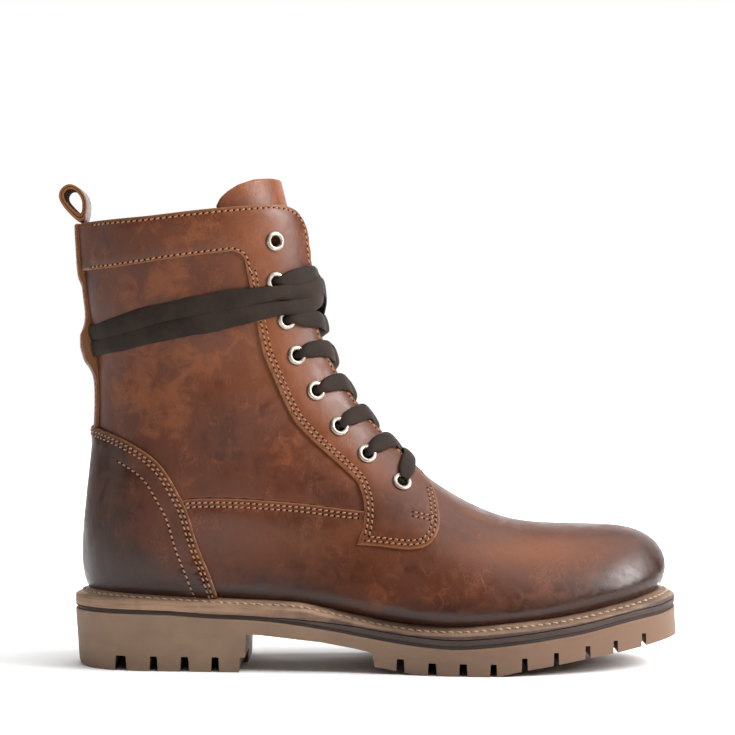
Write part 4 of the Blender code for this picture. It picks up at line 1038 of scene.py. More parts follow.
def make_vamp():
    corner = WING_PATH[0]
    throat = resample([corner, (10.5, math.radians(50)), (10.05, math.radians(25)), (U_THROAT, 0)], 3)
    half = np.vstack([along_ridge(math.pi, 0, feather_ends(UPPER_LIFT)[0], 2),
                      along_feather(None, WING_END_PATH[-1][0], EDGE_STEP * 1.5, UPPER_LIFT),
                      WING_END_PATH[::-1], WING_PATH[::-1], throat])
    rows = [row for side in (1, -1) for row in mirrored(WING_ROWS, side)]
    piece = panel("vamp_leather", [join(half, other_side(half, 0))], (-1.5, 0.0), UPPER, 3.0, rows, wing_lift,
                  raw=hidden_low, uneven=0.35)
    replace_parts(piece, "vamp")


def make_quarters():
    front = seen(QUARTER_FRONT, 3)
    top_end = front[0]
    top = resample([p for p in COLLAR_PATH if p[1] > top_end[1]] + [top_end], 3)
    outline = join(along_ridge(math.pi, feather_ends(UPPER_LIFT)[1], COLLAR_PATH[0][0], 4), top, front,
                   WING_PATH, WING_END_PATH, along_feather(WING_END_PATH[-1][0], None, 3, UPPER_LIFT))
    for name, side in BOTH_SIDES:
        piece = panel("quarter_leather_" + name, mirrored([outline], side), (-1.5, 0.0), UPPER, 3.2,
                      raw=hidden_low, uneven=0.9)
        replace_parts(piece, "quarter_" + name)


def stay_rows(side):
    return mirrored([TOP_ROW, BAND_ROW] + STAY_ROWS + FOOT_ROWS + TACK_ROWS, side)


def make_eyestays():
    outline = join(along_ridge(math.pi, BAND_PATH[0][0], TOP_EDGE[0][0], 3), TOP_EDGE, FOOT_PATH[::-1],
                   BAND_PATH[::-1])
    holes = [disc(*locate(x, z), EYELET_BARREL + 0.2, 16) for x, z in EYELETS]
    for name, side in BOTH_SIDES:
        piece = panel("eyestay_leather_" + name, mirrored([outline] + holes, side), (UNDERLAP, LAPPED),
                      UPPER, 3.0, stay_rows(side), uneven=0.25)
        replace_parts(piece, "eyestay_" + name)


def counter_rise(places):
    """The counter swells where the back strap tucks in under it."""
    x, y, z = body(*places.T).T
    return ease(z, 112, 118) * (1 - ease(np.abs(y), 8, 14)) * (x < -120)


def make_counter():
    edge = COUNTER_PATH
    half = np.vstack([edge, along_feather(edge[-1][0], None, 3, UPPER_LIFT)])
    rows = COUNTER_ROWS + [COUNTER_FAR_ROW]
    rows += [other_side(row, math.pi) for row in rows]
    piece = panel("counter_leather", [join(half, other_side(half, math.pi))], (UNDERLAP, LAPPED), COUNTER,
                  2.3, rows, counter_rise, raw=hidden_low, uneven=0.25)
    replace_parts(piece, "heel_counter_cover")


def strap_lift(places):
    """The strap bows out over the lace bands, steps up over the collar band and tucks under the counter."""
    z = body(*places.T)[:, 2]
    keeper = np.interp(z, [143, 147, 150.5, 154.5, 161.5, 168, 171.5, 175.5, 179],
                       [0, 0.5, 1.8, 4.2, 5.0, 4.2, 1.8, 0.5, 0])
    return keeper + ease(z, 191, 198) * LAPPED


def make_strap():
    low, high = locate(-138.9, 117.0)[0], locate(-146.5, 223.2)[0]
    edge = [(u, solve_angle(u, lambda p: abs(p[1]) > STRAP_HALF_WIDTH, math.pi / 2, math.pi))
            for u in np.linspace(low, high, 60)]
    lateral = resample(edge, EDGE_STEP)
    outline = join(around_section(low, math.pi, lateral[0][1], 2), lateral,
                   around_section(high, lateral[-1][1], math.pi, 2))
    row = keep_where(beside(lateral, 2.0, (lateral[9][0], math.pi)), lambda x, z: 122.5 < z < 221)
    rows = [row, other_side(row, math.pi)]
    piece = panel("back_strap_leather", [join(outline, other_side(outline, math.pi))], (UNDERLAP, STRAP_TOP),
                  STRAP_LEATHER, 2.4, rows, strap_lift, bevel=0.6)
    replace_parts(piece, "back_strap")
    return rows


def make_seams(strap_rows):
    for name, side in BOTH_SIDES:
        sewing = Thread()
        for row in stay_rows(side):
            sewing.sew(row, LAPPED - SUNK)
        for row in mirrored(WING_ROWS, side):
            sewing.sew(row, lambda places: wing_lift(places) - SUNK)
        sewing.finish(name, SEAM_THREAD)
    sewing = Thread()
    for row in COUNTER_ROWS + [COUNTER_FAR_ROW]:
        for path in (row, other_side(row, math.pi)):
            sewing.sew(path, lambda places: LAPPED - SUNK + counter_rise(places))
    for row in strap_rows:
        sewing.sew(row, lambda places: STRAP_TOP - SUNK + strap_lift(places))
    sewing.finish("heel", SEAM_THREAD)


# --- inside ---------------------------------------------------------------------------------------
LINING_LAYER = (-7.9, -6.5)


def make_linings():
    lift, step = 6.0, 5.0
    half = np.vstack([along_ridge(math.pi, 0, feather_ends(lift)[0], 4),
                      along_feather(None, U_THROAT - 0.1, step, lift),
                      around_section(U_THROAT - 0.1, feather_angle(U_THROAT - 0.1, lift), 0, step)])
    piece = panel("lining_cloth_forefoot", [join(half, other_side(half, 0))], LINING_LAYER, PILE, 5.5,
                  bevel=0.5, uneven=0.3)
    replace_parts(piece, "lining_forefoot")
    front = seen(INNER_FRONT, step)
    top = seen([(-146.3, 221.5), (-142.0, 222.2), (-100.0, 225.4), (-74.0, 227.8), (-57.0, 228.5)], 4)
    end = feather_angle(U_THROAT + 0.1, lift)
    half = np.vstack([top, front, around_section(U_THROAT + 0.1, front[-1][1] + 0.05, end, step),
                      along_feather(U_THROAT + 0.1, None, step, lift)])
    piece = panel("lining_cloth_shaft", [join(half, other_side(half, math.pi))], LINING_LAYER, PILE, 4.5,
                  bevel=0.5, uneven=0.35)
    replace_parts(piece, "lining_shaft")
    make_binding()


def sweep(name, centres, sides, ups, outline, material, shaped=None):
    """A solid swept along centres; shaped(i, outline) gives the (across, up) points of station i."""
    n, m = len(centres), len(outline)
    points = []
    for i in range(n):
        shape = outline if shaped is None else shaped(i, outline)
        points.append(centres[i] + np.outer(shape[:, 0], sides[i]) + np.outer(shape[:, 1], ups[i]))
    faces = loft_faces(n, m) + cap_faces(n, m)
    return face_out(add_mesh(name, np.vstack(points), faces, material, "boot", 55))


def superellipse(width, thickness, count, power=2.6):
    turn = 2 * math.pi * np.arange(count) / count
    c, s = np.cos(turn), np.sin(turn)
    return np.stack([width / 2 * np.sign(c) * np.abs(c)**(2 / power),
                     thickness / 2 * np.sign(s) * np.abs(s)**(2 / power)], 1)


def make_binding():
    """A rolled leather edge that closes the gap between the upper and the lining at the collar."""
    path = seen([(-146.0, 221.3), (-141.5, 221.4), (-125.0, 222.3), (-108.0, 223.4), (-90.0, 225.4),
                 (-73.0, 227.3), (-52.0, 229.5)], 2.5)
    path = joined(path[::-1], other_side(path, math.pi)[::-1])
    path = resample(path, 2.5)
    centres = surface(*path.T, -4.4)
    ups = normals(*path.T)
    sides = unit(np.cross(unit(np.gradient(centres, axis=0)), ups))
    ring = superellipse(4.6, 6.6, 14, 2.4)
    sweep("collar_binding_roll", centres, sides, ups, ring, BINDING)


def make_tongue():
    top = [(u_at_height(math.radians(d), z), math.radians(d)) for d, z in TONGUE_TOP]
    side = [(10.5, 40), (12.0, 52), (14.0, 58), (17.0, 64), (20.0, 69), (22.0, 72), (23.6, 74)]
    top_edge = resample(top[::-1], 2)
    half = np.vstack([around_section(10.5, 0, math.radians(40), 3),
                      resample([(u, math.radians(d)) for u, d in side], 3), top_edge])
    piece = panel("tongue_leather_piece", [join(other_side(half, 0)[:-1], half)], (-11.0, -8.75),
                  TONGUE_LEATHER_HIGHLIT, 4.0, owner="tongue", bevel=0.9, uneven=0.3)
    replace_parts(piece, "tongue")


def u_at_height(angle, z):
    return bisect(20.0, float(U_TOP), lambda u: body(u, angle)[2] < z)


# --- small parts ----------------------------------------------------------------------------------
# Cross-section of a turned nickel ring, (radius, height): a barrel through the leather and a rolled lip.
EYELET_LIP = [(2.65, -0.4), (3.15, -0.4), (3.15, 1.6), (4.75, 1.72), (5.0, 1.95), (5.0, 2.25), (4.78, 2.55),
              (4.3, 2.78), (3.7, 2.86), (3.15, 2.78), (2.8, 2.5), (2.65, 2.1)]
EYELET_SIDES = 40


def make_eyelets():
    for name, side in BOTH_SIDES:
        for row, (x, z) in enumerate(EYELETS, 1):
            u, angle = locate(x, z)
            angle *= side
            point = body(u, angle)
            normal = normals(np.array([u]), np.array([angle]))[0]
            along = unit(np.cross(normal, (0.0, 1.0, 0.0)))
            around = np.cross(normal, along)
            spokes = circle(EYELET_SIDES, along, around)
            points = np.vstack([point + r * spokes + h * normal for r, h in EYELET_LIP])
            faces = loft_faces(len(EYELET_LIP), EYELET_SIDES, True)
            ring = face_out(add_mesh(f"eyelet_ring_{name}_{row}", points, faces, NICKEL, "boot", 70))
            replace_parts(ring, f"eyelet_{name}_{row}")


LOOP_OUTSIDE = [(-145.6, 224.3), (-147.3, 225.0), (-149.9, 227.3), (-153.6, 231.4), (-156.2, 236.0),
                (-155.7, 240.3), (-152.3, 243.2), (-148.2, 242.7), (-144.6, 239.6), (-142.5, 234.9),
                (-142.6, 229.6), (-143.6, 225.5)]
LOOP_INSIDE = [(-145.6, 228.7), (-147.0, 229.3), (-148.9, 230.8), (-151.6, 233.6), (-153.6, 236.6),
               (-153.2, 239.2), (-151.2, 240.7), (-148.4, 240.1), (-146.2, 238.0), (-144.7, 234.7),
               (-144.6, 231.0), (-144.9, 229.3)]


def closed_curve(points, count):
    n = len(points)
    curve = spline([points[i % n] for i in range(-3, n + 4)])
    return curve(3 + np.arange(count) * n / count)


def loop_strip(name, outside, inside, material, burnish):
    """One closed strip between two outlines, with rounded, uncoloured edges."""
    count, half, round_off = len(outside), 10.2, 0.55
    stations = [(-half, 0.22), (-half + 0.15, 0.10), (-half + round_off, 0.0), (-half / 2, -0.03), (0, -0.04),
                (half / 2, -0.03), (half - round_off, 0.0), (half - 0.15, 0.10), (half, 0.22)]
    rings = [(y, outside + (inside - outside) * f) for y, f in stations]
    rings += [(y, inside + (outside - inside) * f) for y, f in stations[::-1]]
    points = np.vstack([np.column_stack([r[:, 0], np.full(count, y), r[:, 1]]) for y, r in rings])
    faces = loft_faces(len(rings), count, True)
    rim = [0.95 if abs(y) > half - 0.1 else 0.4 if abs(y) > half - 0.3 else 0.0 for y, _ in rings]
    rim = np.repeat(rim, count)
    zeros = np.zeros(len(points))
    attributes = {"raw": rim, "edge": rim, "burnish": zeros + burnish, "warm": zeros + 0.1}
    return face_out(add_mesh(name, points, faces, material, "pull_loop", 60, attributes))


def make_pull_loop():
    """A doubled leather strip: the smooth side faces out and the dark, rough side faces into the loop."""
    outside, inside = closed_curve(LOOP_OUTSIDE, 72), closed_curve(LOOP_INSIDE, 72)
    middle = 0.55 * outside + 0.45 * inside
    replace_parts(loop_strip("pull_loop_leather", outside, middle, STRAP_LEATHER, 0.15), "pull_loop")
    loop_strip("pull_loop_lining", middle, inside, LOOP_LINING, 0.8)


# --- lace -----------------------------------------------------------------------------------------
def lacing(side):
    """One half of the lace: from the bar over the bottom, crossing up to its top eyelet.

    It goes under its own facing, over the far one and into the next eyelet from outside; at the last
    crossing it stays inside and comes out through the top eyelet.
    """
    places = [locate(x, z) for x, z in EYELETS]
    u, angle = places[7]
    degrees, edge = side * math.degrees(angle), side * math.degrees(facing_angle(u))
    path = [(u + 0.34, 0.0, 2.6), (u + 0.30, 0.55 * edge, 3.1), (u + 0.24, edge, 3.6),
            (u + 0.12, 0.5 * (edge + degrees), 3.5), (u, 0.93 * degrees + 0.07 * edge, 3.0),
            (u, degrees, 1.0), (u, degrees, -3.6)]
    if side < 0:
        path = path[1:]
    for row in range(7, 1, -1):
        next_u, next_angle = places[row - 1]
        rise = next_u - u
        edge = side * math.degrees(facing_angle(u + 0.3 * rise))
        far_edge = -side * math.degrees(facing_angle(next_u))
        far = -side * math.degrees(next_angle)
        if row > 2:
            over = 1.4 if side > 0 else -0.8
            low = 0.16 if row == 3 else 0.0
            path += [(u + 0.10 * rise, 0.5 * (degrees + edge), -3.4), (u + 0.22 * rise, edge, -2.8),
                     (u + (0.40 - 0.5 * low) * rise, 0, over),
                     (u + (0.61 - low) * rise, 0.75 * far_edge, 2.5),
                     (u + (0.76 - low) * rise, far_edge, 3.6),
                     (u + (0.92 - 0.7 * low) * rise, 0.5 * far_edge + 0.5 * far, 3.5),
                     (next_u, 0.07 * far_edge + 0.93 * far, 3.0), (next_u, far, 1.0), (next_u, far, -3.6)]
        else:
            under = -2.4 if side > 0 else -4.6
            path += [(u + 0.15 * rise, 0.5 * (degrees + edge), -3.5), (u + 0.5 * rise, 0, under),
                     (u + 0.85 * rise, 0.5 * (far + far_edge), -3.5), (next_u, far, -3.6), (next_u, far, 1.0),
                     (next_u, 0.93 * far + 0.07 * far_edge, 3.0)]
        side, u, degrees = -side, next_u, far
    return path


# The two bands that the lace's ends make round the ankle, as seen from the side, front to back: (x, z).
UPPER_BAND = [(-32.5, 188.6), (-48.5, 187.2), (-67.5, 184.0), (-86.0, 180.9), (-105.0, 176.6),
              (-120.0, 172.4), (-133.0, 168.8)]
LOWER_BAND = [(-32.5, 181.0), (-48.0, 179.4), (-67.6, 175.3), (-86.0, 171.8), (-105.0, 167.7),
              (-120.0, 164.2), (-133.0, 161.4)]
BAND_HEIGHTS = [3.9, 3.6, 2.6, 1.15, 1.1, 1.15, 1.3]      # above S, under each point


def band(points, side, raised=0.0):
    rows = []
    for (x, z), height in zip(points, BAND_HEIGHTS):
        u, angle = locate(x, z)
        rows.append((u, side * math.degrees(angle), height + raised))
    return rows


def turned(rows, by):
    return [(u, degrees + by, height) for u, degrees, height in rows]


def wrap_a():
    """From the lateral top eyelet over the front, round the medial side, the back and the lateral side."""
    away = band(UPPER_BAND, -1)
    back = turned(band(UPPER_BAND, 1)[::-1], -360)
    front = [(21.38, 38, 3.7), (21.28, 22, 3.7), (21.12, 11, 1.5), (20.98, -2, 0.4), (20.85, -12, 1.6),
             (20.8, -20, 3.6)]
    tail = [(20.80, -341, 4.2), (20.70, -352, 3.4), (20.45, -364, 3.3), (20.1, -376, 4.2), (19.5, -388, 5.2),
            (18.9, -400, 4.2), (18.1, -410, 3.5)]
    return front + away + [(22.08, -180, 1.6)] + back + tail


def wrap_b():
    """From the medial top eyelet over the front, round the lateral side, the back and the medial side."""
    away = band(LOWER_BAND, 1)
    back = turned(band(LOWER_BAND, -1)[::-1], 360)
    front = [(21.38, -38, 3.7), (21.2, -24, 4.2), (20.85, -11, 2.6), (20.5, 1, 1.9), (20.3, 12, 2.4),
             (20.2, 20, 3.8)]
    tail = [(19.3, 318, 5.6), (18.6, 315, 4.4), (17.9, 313, 3.6)]
    return front + away + [(21.72, 180, 1.6)] + back[:-1] + tail


LACE_WIDTH = 8.3
LACE_THICKNESS = 1.7
BUNCHED_WIDTH = 4.3          # inside an eyelet
BUNCHED_THICKNESS = 3.3


def lay_out(places, step=1.1):
    """Dense (u, angle, height) along straight stretches between the lace's places."""
    rows = []
    for a, b in zip(places[:-1], places[1:]):
        a, b = np.array(a, float), np.array(b, float)
        rough = surface(np.array([a[0], b[0]]), np.radians([a[1], b[1]]), np.array([a[2], b[2]]))
        count = max(2, int(np.linalg.norm(rough[1] - rough[0]) / step))
        rows += [a + (b - a) * f for f in np.linspace(0, 1, count, endpoint=False)]
    rows.append(b)
    return np.array(rows)


def soften(values, passes):
    for _ in range(passes):
        values[1:-1] = (values[:-2] + 2 * values[1:-1] + values[2:]) / 4
    return values


def lace_course():
    """Centre points, widthways and upward directions, and how bunched the lace is, all along it."""
    half_a = lacing(1) + wrap_a()
    half_b = lacing(-1) + wrap_b()
    rows = lay_out(half_a[::-1] + half_b)
    angle = np.radians(rows[:, 1])
    points = soften(surface(rows[:, 0], angle, rows[:, 2]), 8)
    ups = soften(normals(rows[:, 0], angle), 4)
    run = run_of(points)
    even = np.linspace(0, run[-1], round(run[-1] / 1.6) + 1)
    points = along_run(even, run, points)
    ups = unit(along_run(even, run, ups))
    along = unit(np.gradient(points, axis=0))
    sides = soften(np.cross(ups, along), 9)
    for i in range(1, len(sides)):
        if sides[i] @ sides[i - 1] < 0 and np.linalg.norm(sides[i]) < 0.5:
            sides[i] = sides[i - 1]
    sides = unit(sides - along * (sides * along).sum(1, keepdims=True))
    ups = unit(np.cross(along, sides))
    centres = [surface(np.array([u]), np.array([side * a]), 1.0)[0]
               for u, a in (locate(x, z) for x, z in EYELETS) for side in (1, -1)]
    eyelet_tree = tree_of(centres)
    bunch = 1 - ease(distances(eyelet_tree, points), 2.6, 8.5)
    return points, sides, ups, soften(bunch, 3), even


def make_lace():
    points, sides, ups, bunch, run = lace_course()
    base = superellipse(1.0, 1.0, 20, 2.7)
    turn = 2 * math.pi * np.arange(len(base)) / len(base)

    def shaped(i, outline):
        width = LACE_WIDTH + (BUNCHED_WIDTH - LACE_WIDTH) * bunch[i]
        width *= spread[i] * (1 + 0.04 * math.sin(run[i] / 9.0) + 0.03 * math.sin(run[i] / 3.7))
        thick = LACE_THICKNESS + (BUNCHED_THICKNESS - LACE_THICKNESS) * bunch[i]
        fold = 1 + (0.05 + 0.10 * bunch[i]) * np.cos(3 * turn + run[i] / 11.0)
        cup = 0.35 * (1 - bunch[i]) * (outline[:, 0] * 2)**2
        return np.stack([outline[:, 0] * width * fold, outline[:, 1] * thick * fold - cup], 1)

    x = points[:, 0]
    spread = 1 + 0.20 * ease(x, -138, -112) * (1 - ease(x, -75, -50)) * (points[:, 2] > 150)
    piece = sweep("lace_ribbon", points, sides, ups, base, COTTON, shaped)
    layer = piece.data.uv_layers.new(name="lace")
    m = len(base)
    for loop in piece.data.loops:
        station, k = divmod(loop.vertex_index, m)
        layer.data[loop.index].uv = (run[station], base[k, 0] * LACE_WIDTH)
    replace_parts(piece, "lace")
    print("lace length, mm:", round(float(run[-1])))
    for name, end, before in (("aglet_a", points[0], points[3]), ("aglet_b", points[-1], points[-4])):
        make_aglet(name, end, unit(end - before))


# Half cross-section of a lace tip, with a crimp near each end: (distance along, radius).
AGLET = [(-1.5, 1.0), (-1.5, 1.72), (-1.2, 1.82), (1.2, 1.86), (1.5, 1.62), (2.0, 1.62), (2.3, 1.86),
         (17.6, 1.86), (17.9, 1.62), (18.4, 1.62), (18.7, 1.84), (20.0, 1.78), (20.4, 1.5)]


def make_aglet(name, end, direction):
    side = unit(np.cross(direction, (0.1, 0.2, 1.0)))
    up = np.cross(side, direction)
    count = 28
    spokes = circle(count, side, up)
    tip = end + AGLET[-1][0] * direction
    points = np.vstack([end + t * direction + r * spokes for t, r in AGLET] + [tip])
    m = len(AGLET)
    faces = loft_faces(m, count)
    faces += [((m - 1) * count + i, (m - 1) * count + (i + 1) % count, m * count) for i in range(count)]
    faces.append(tuple(range(count))[::-1])
    piece = face_out(add_mesh(name + "_tip", points, faces, NICKEL, "boot", 40))
    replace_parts(piece, name)


# --- bottom unit ----------------------------------------------------------------------------------
def footprint(outward, count=150):
    """The feather line from above, moved outwards: lateral points toe to heel, then medial back."""
    path = along_feather(None, None, 1.0, 0.0)
    spread = (1 - np.cos(np.linspace(0, math.pi, count + 1))) / 2 * 0.5 + np.linspace(0, 1, count + 1) * 0.5
    run = length_of(path)
    half = along_run(spread * run[-1], run, path)
    ring = np.vstack([half, other_side(half, 0)[1:-1]])
    flat = body(*ring.T)[:, :2]
    for _ in range(2):
        flat = (np.roll(flat, 1, axis=0) + 2 * flat + np.roll(flat, -1, axis=0)) / 4
    run = np.roll(flat, -1, axis=0) - np.roll(flat, 1, axis=0)
    normal = unit(np.stack([run[:, 1], -run[:, 0]], 1))
    if normal[0, 0] < 0:
        normal = -normal
    extra = WELT_TIP_EXTRA * normal[:, :1]**4 * np.clip(outward / WELT_WIDTH, 0, 1)
    return flat + normal * (outward + extra)


def midsole_top(x):
    return outsole_top(x) + np.interp(x, [-50, -5], [1.7, 4.3])


def stacked_rings(rings, filled):
    """Points and faces of rings round the foot, each at an outward distance and a height that follows x.

    A filled stack is closed across its first and last ring; otherwise the two are joined to make a hoop.
    """
    made = []
    for outward, height in rings:
        ring = footprint(outward)
        made.append(np.column_stack([ring, height(ring[:, 0])]))
    n, m = len(made[0]), len(made)
    faces = loft_faces(m, n, not filled)
    for base in (0, (m - 1) * n) if filled else ():
        for i in range(n // 2):
            face = list(dict.fromkeys([i, i + 1, (n - i - 1) % n, (n - i) % n]))
            faces.append(tuple(base + v for v in (face if base else face[::-1])))
    return np.vstack(made), faces


def stack(name, rings, material, filled=False):
    """A layer of the bottom unit, with how dark each ring is (tone): stain, and on the welt's rings next to
    the upper also painted shade.
    """
    points, faces = stacked_rings([ring[:2] for ring in rings], filled)
    # stained holds the stain and, on the welt, painted shade next to the upper.
    stained = {"dark": np.concatenate([tone(footprint(outward)[:, 0]) for outward, _, tone in rings])}
    return face_out(add_mesh(name, points, faces, material, "boot", 42, stained))


def edge_tone(x):
    """The stacked edge is tan at the heel and stained dark from the waist forwards."""
    return np.interp(x, [-150, -60, -20, 20], [0.0, 0.15, 0.75, 1.0])


def layer_tone(x):
    """The midsole is a lighter brown than the dark line under it."""
    return np.interp(x, [-150, -60, -20, 20, 120], [0.1, 0.2, 0.45, 0.75, 0.55])


def upper_tone(x):
    """The welt's upper face is tan, and a little darker towards the toe."""
    return np.interp(x, [-60, 20, 110], [0.0, 0.25, 0.50])


def flat_tone(value):
    return lambda x: np.full(len(x), float(value))


def make_bottom():
    low = lambda x: outsole_top(x) + 0.05
    line = lambda x: outsole_top(x) + 1.35
    top = lambda x: midsole_top(x) + 0.25
    piece = stack("midsole_layers", [
        (WELT_WIDTH - 0.9, low, flat_tone(1)),
        (WELT_WIDTH - 0.55, lambda x: low(x) + 0.15, flat_tone(1.3)),
        (WELT_WIDTH - 0.55, line, flat_tone(1.3)),
        (WELT_WIDTH - 1.0, lambda x: line(x) + 0.05, flat_tone(1.3)),
        (WELT_WIDTH - 0.15, lambda x: line(x) + 0.25, layer_tone),
        (WELT_WIDTH, lambda x: line(x) + 0.45, layer_tone),
        (WELT_WIDTH, lambda x: top(x) - 0.3, layer_tone), (WELT_WIDTH - 0.5, top, layer_tone),
    ], MIDSOLE, True)
    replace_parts(piece, "midsole")
    rim = lambda x: feather_z(x) - 4.4
    piece = stack("welt_strip", [
        (-3.0, lambda x: midsole_top(x) + 0.3, flat_tone(0.5)),
        (WELT_WIDTH - 0.3, lambda x: top(x) + 0.1, edge_tone),
        (WELT_WIDTH + 0.1, lambda x: top(x) + 0.3, edge_tone), (WELT_WIDTH + 0.1, rim, edge_tone),
        (WELT_WIDTH - 0.3, lambda x: rim(x) + 0.55, lambda x: 0.45 * edge_tone(x)),
        (WELT_WIDTH - 1.2, lambda x: rim(x) + 1.15, upper_tone), (3.95, lambda x: rim(x) + 1.85, upper_tone),
        (3.2, lambda x: rim(x) + 2.05, flat_tone(0.3)), (2.5, lambda x: rim(x) + 2.85, upper_tone),
        # The last rings, next to the upper, are dark (tone 0.7 to 1): painted shade in the gap where the welt
        # meets the upper.
        (1.2, lambda x: rim(x) + 3.95, upper_tone), (0.2, lambda x: feather_z(x), flat_tone(0.7)),
        (-1.0, lambda x: feather_z(x) + 0.3, flat_tone(1)),
        (-3.0, lambda x: feather_z(x) + 0.1, flat_tone(1)),
    ], WELT)
    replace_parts(piece, "welt")
    sew_welt(rim)
    make_outsole()


def sew_welt(rim):
    ring = footprint(3.2, 700)
    inner = footprint(2.2, 700)
    points = np.column_stack([ring, rim(ring[:, 0]) + 2.25])
    inward = unit(np.column_stack([inner, rim(inner[:, 0]) + 3.0]) - points)
    run = run_of(points)
    count = round(run[-1] / 4.0)
    vertices, faces = [], []
    t = STITCH_RUN
    for i in range(count):
        s = (i + 0.14 + 0.72 * t) * run[-1] / count
        middle = along_run(s, run, points)
        across = unit(along_run(s, run, inward))
        along = unit(np.gradient(middle, axis=0))
        up = np.cross(along, across)
        up *= np.sign(up[:, 2:3])
        middle = middle + up * (0.42 * np.sin(math.pi * np.clip(t, 0.05, 0.95)) - 0.1)[:, None]
        middle = middle + across * (0.25 * (2 * t - 1))[:, None]
        faces += stitch_faces(len(vertices))
        vertices += stitch(middle, across, 0.8 * up, 0.48)
    face_out(add_mesh("stitches_welt", vertices, faces, WELT_THREAD, "boot", 60))


def make_outsole():
    ring = footprint(WELT_WIDTH, 200)
    half = len(ring) // 2
    lateral, medial = ring[:half + 1][::-1], np.vstack([ring[half:], ring[:1]])
    ends = (lateral[0, 0] + 0.02, lateral[-1, 0] - 0.02)
    middle = (ends[0] + ends[1]) / 2
    spread = middle + (ends[1] - ends[0]) / 2 * np.sin(np.linspace(-math.pi / 2, math.pi / 2, 110))
    corners = [x for x, _ in UNDERSIDE if ends[0] < x < ends[1]]
    stations = np.array(sorted([x for x in spread if min(abs(x - c) for c in corners) > 0.9] + corners))
    low, high = np.interp(stations, *np.array(UNDERSIDE).T), outsole_top(stations)
    left, right = np.interp(stations, *lateral.T), np.interp(stations, *medial.T)
    points = []
    for x, a, b, z0, z1 in zip(stations, left, right, low, high):
        lip = min(0.5, 0.2 * (b - a))
        rise = z1 - z0
        section_points = [(a + 1.6 * lip, z0), (a + 0.9 * lip, z0 + 0.25 * rise), (a + 0.7 * lip, z1 - 2.4),
                          (a, z1 - 1.7), (a + 0.1 * lip, z1 - 0.25), (a + 0.8 * lip, z1)]
        mirror_points = [(b - (y - a), z) for y, z in section_points]
        points += [(x, y, z) for y, z in section_points + mirror_points[::-1]]
    around = len(points) // len(stations)
    faces = loft_faces(len(stations), around) + cap_faces(len(stations), around)
    points = np.array(points)
    depth = np.clip(1 - points[:, 2] / 26, 0, 1)
    points[:, 0] += 2.0 * depth * (1 - ease(points[:, 0], -151, -125))
    points[:, 0] += 1.0 * ease(points[:, 0], 140, 160) * np.clip((30 - points[:, 2]) / 14, 0, 1)
    sole = face_out(add_mesh("outsole_rubber", points, faces, RUBBER, "boot", 38))
    for cutter in (groove_cutter(), channel_cutter()):
        modifier = sole.modifiers.new(cutter.name, "BOOLEAN")
        modifier.operation = "DIFFERENCE"
        modifier.object = cutter
        bpy.context.view_layer.objects.active = sole
        with bpy.context.temp_override(object=sole, active_object=sole, selected_objects=[sole]):
            bpy.ops.object.modifier_apply(modifier=modifier.name)
        bpy.data.objects.remove(cutter, do_unlink=True)
    bevel = sole.modifiers.new("soft_edges", "BEVEL")
    bevel.width, bevel.segments = 0.55 * MM, 2
    bevel.limit_method, bevel.angle_limit = "ANGLE", math.radians(40)
    bevel.use_clamp_overlap = True
    sole.data.shade_smooth()
    sole.data.set_sharp_from_angle(angle=math.radians(38))
    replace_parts(sole, "outsole")


def prisms(name, corners):
    """One mesh of eight-cornered cutters."""
    mesh = bpy.data.meshes.new(name)
    faces = []
    for start in range(0, len(corners), 8):
        faces += [tuple(start + k for k in face) for face in
                  ((0, 1, 2, 3), (7, 6, 5, 4), (0, 4, 5, 1), (1, 5, 6, 2), (2, 6, 7, 3), (3, 7, 4, 0))]
    mesh.from_pydata((np.array(corners, float) * MM).tolist(), [], faces)
    return face_out(add_object(name, mesh))


def groove_cutter():
    corners = []
    rows = [(x, width, (-70, 0)) for x, width in LATERAL_GROOVES]
    rows += [(x, width, (0, 70)) for x, width in MEDIAL_GROOVES]
    for x, width, reach in rows:
        base = np.interp(x, *np.array(UNDERSIDE).T) if x > 0 else 0
        top = GROOVE_TOP if x < 0 else base + 6.2
        for y in reach:
            corners += [(x - width / 2, y, base - 8), (x + width / 2, y, base - 8),
                        (x + width / 2.9, y, top), (x - width / 2.9, y, top)]
    return prisms("grooves", corners)


def channel_cutter():
    """Shallow lengthwise channels, in short slanted steps, that part the tread into rows of lugs."""
    corners = []
    spans = [(-132, -62, 8), (8, 132, 14)]
    for first, last, count in spans:
        xs = np.linspace(first, last, count + 1)
        for a, b, turn in zip(xs[:-1], xs[1:], [1, -1] * count):
            for middle in (-0.42, 0.42):
                ends = []
                for x, lean in ((a, -turn), (b - 0.6, turn)):
                    half = 44.0 if x > 0 else 31.0
                    if x > 95:
                        half *= 1 - 0.5 * (x - 95) / 40
                    ends.append((x, middle * half + 2.2 * lean))
                for x, y in ends:
                    base = np.interp(x, *np.array(UNDERSIDE).T)
                    corners += [(x, y - 1.5, base - 5), (x, y + 1.5, base - 5),
                                (x, y + 1.1, base + 3.2), (x, y - 1.1, base + 3.2)]
    return prisms("channels", corners)


def make_footbed():
    """A thin cushioned insole with a raised, rounded rim."""
    rim = [(-9.2, 0.35), (-8.7, 0.7), (-8.6, 3.4), (-9.1, 4.2), (-10.0, 4.45), (-12.5, 4.1), (-16.0, 3.7)]
    rings = [(outward, lambda x, rise=rise: feather_z(x) + rise) for outward, rise in rim]
    points, faces = stacked_rings(rings, True)
    piece = face_out(add_mesh("footbed_cushion", points, faces, FOOTBED_CLOTH, "footbed", 60))
    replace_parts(piece, "footbed")


def finish_hidden_nodes():
    """Materials for the CAD nodes that stay: they lie inside the boot."""
    looks = {"cork_filler": CORK, "insole_board": BOARD, "steel_shank": STEEL, "heel_stiffener": BOARD,
             "toe_puff": BOARD, "insulation_forefoot": FELT, "insulation_shaft": FELT}
    for name, material in looks.items():
        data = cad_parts[name].data
        data.materials.clear()
        data.materials.append(material)


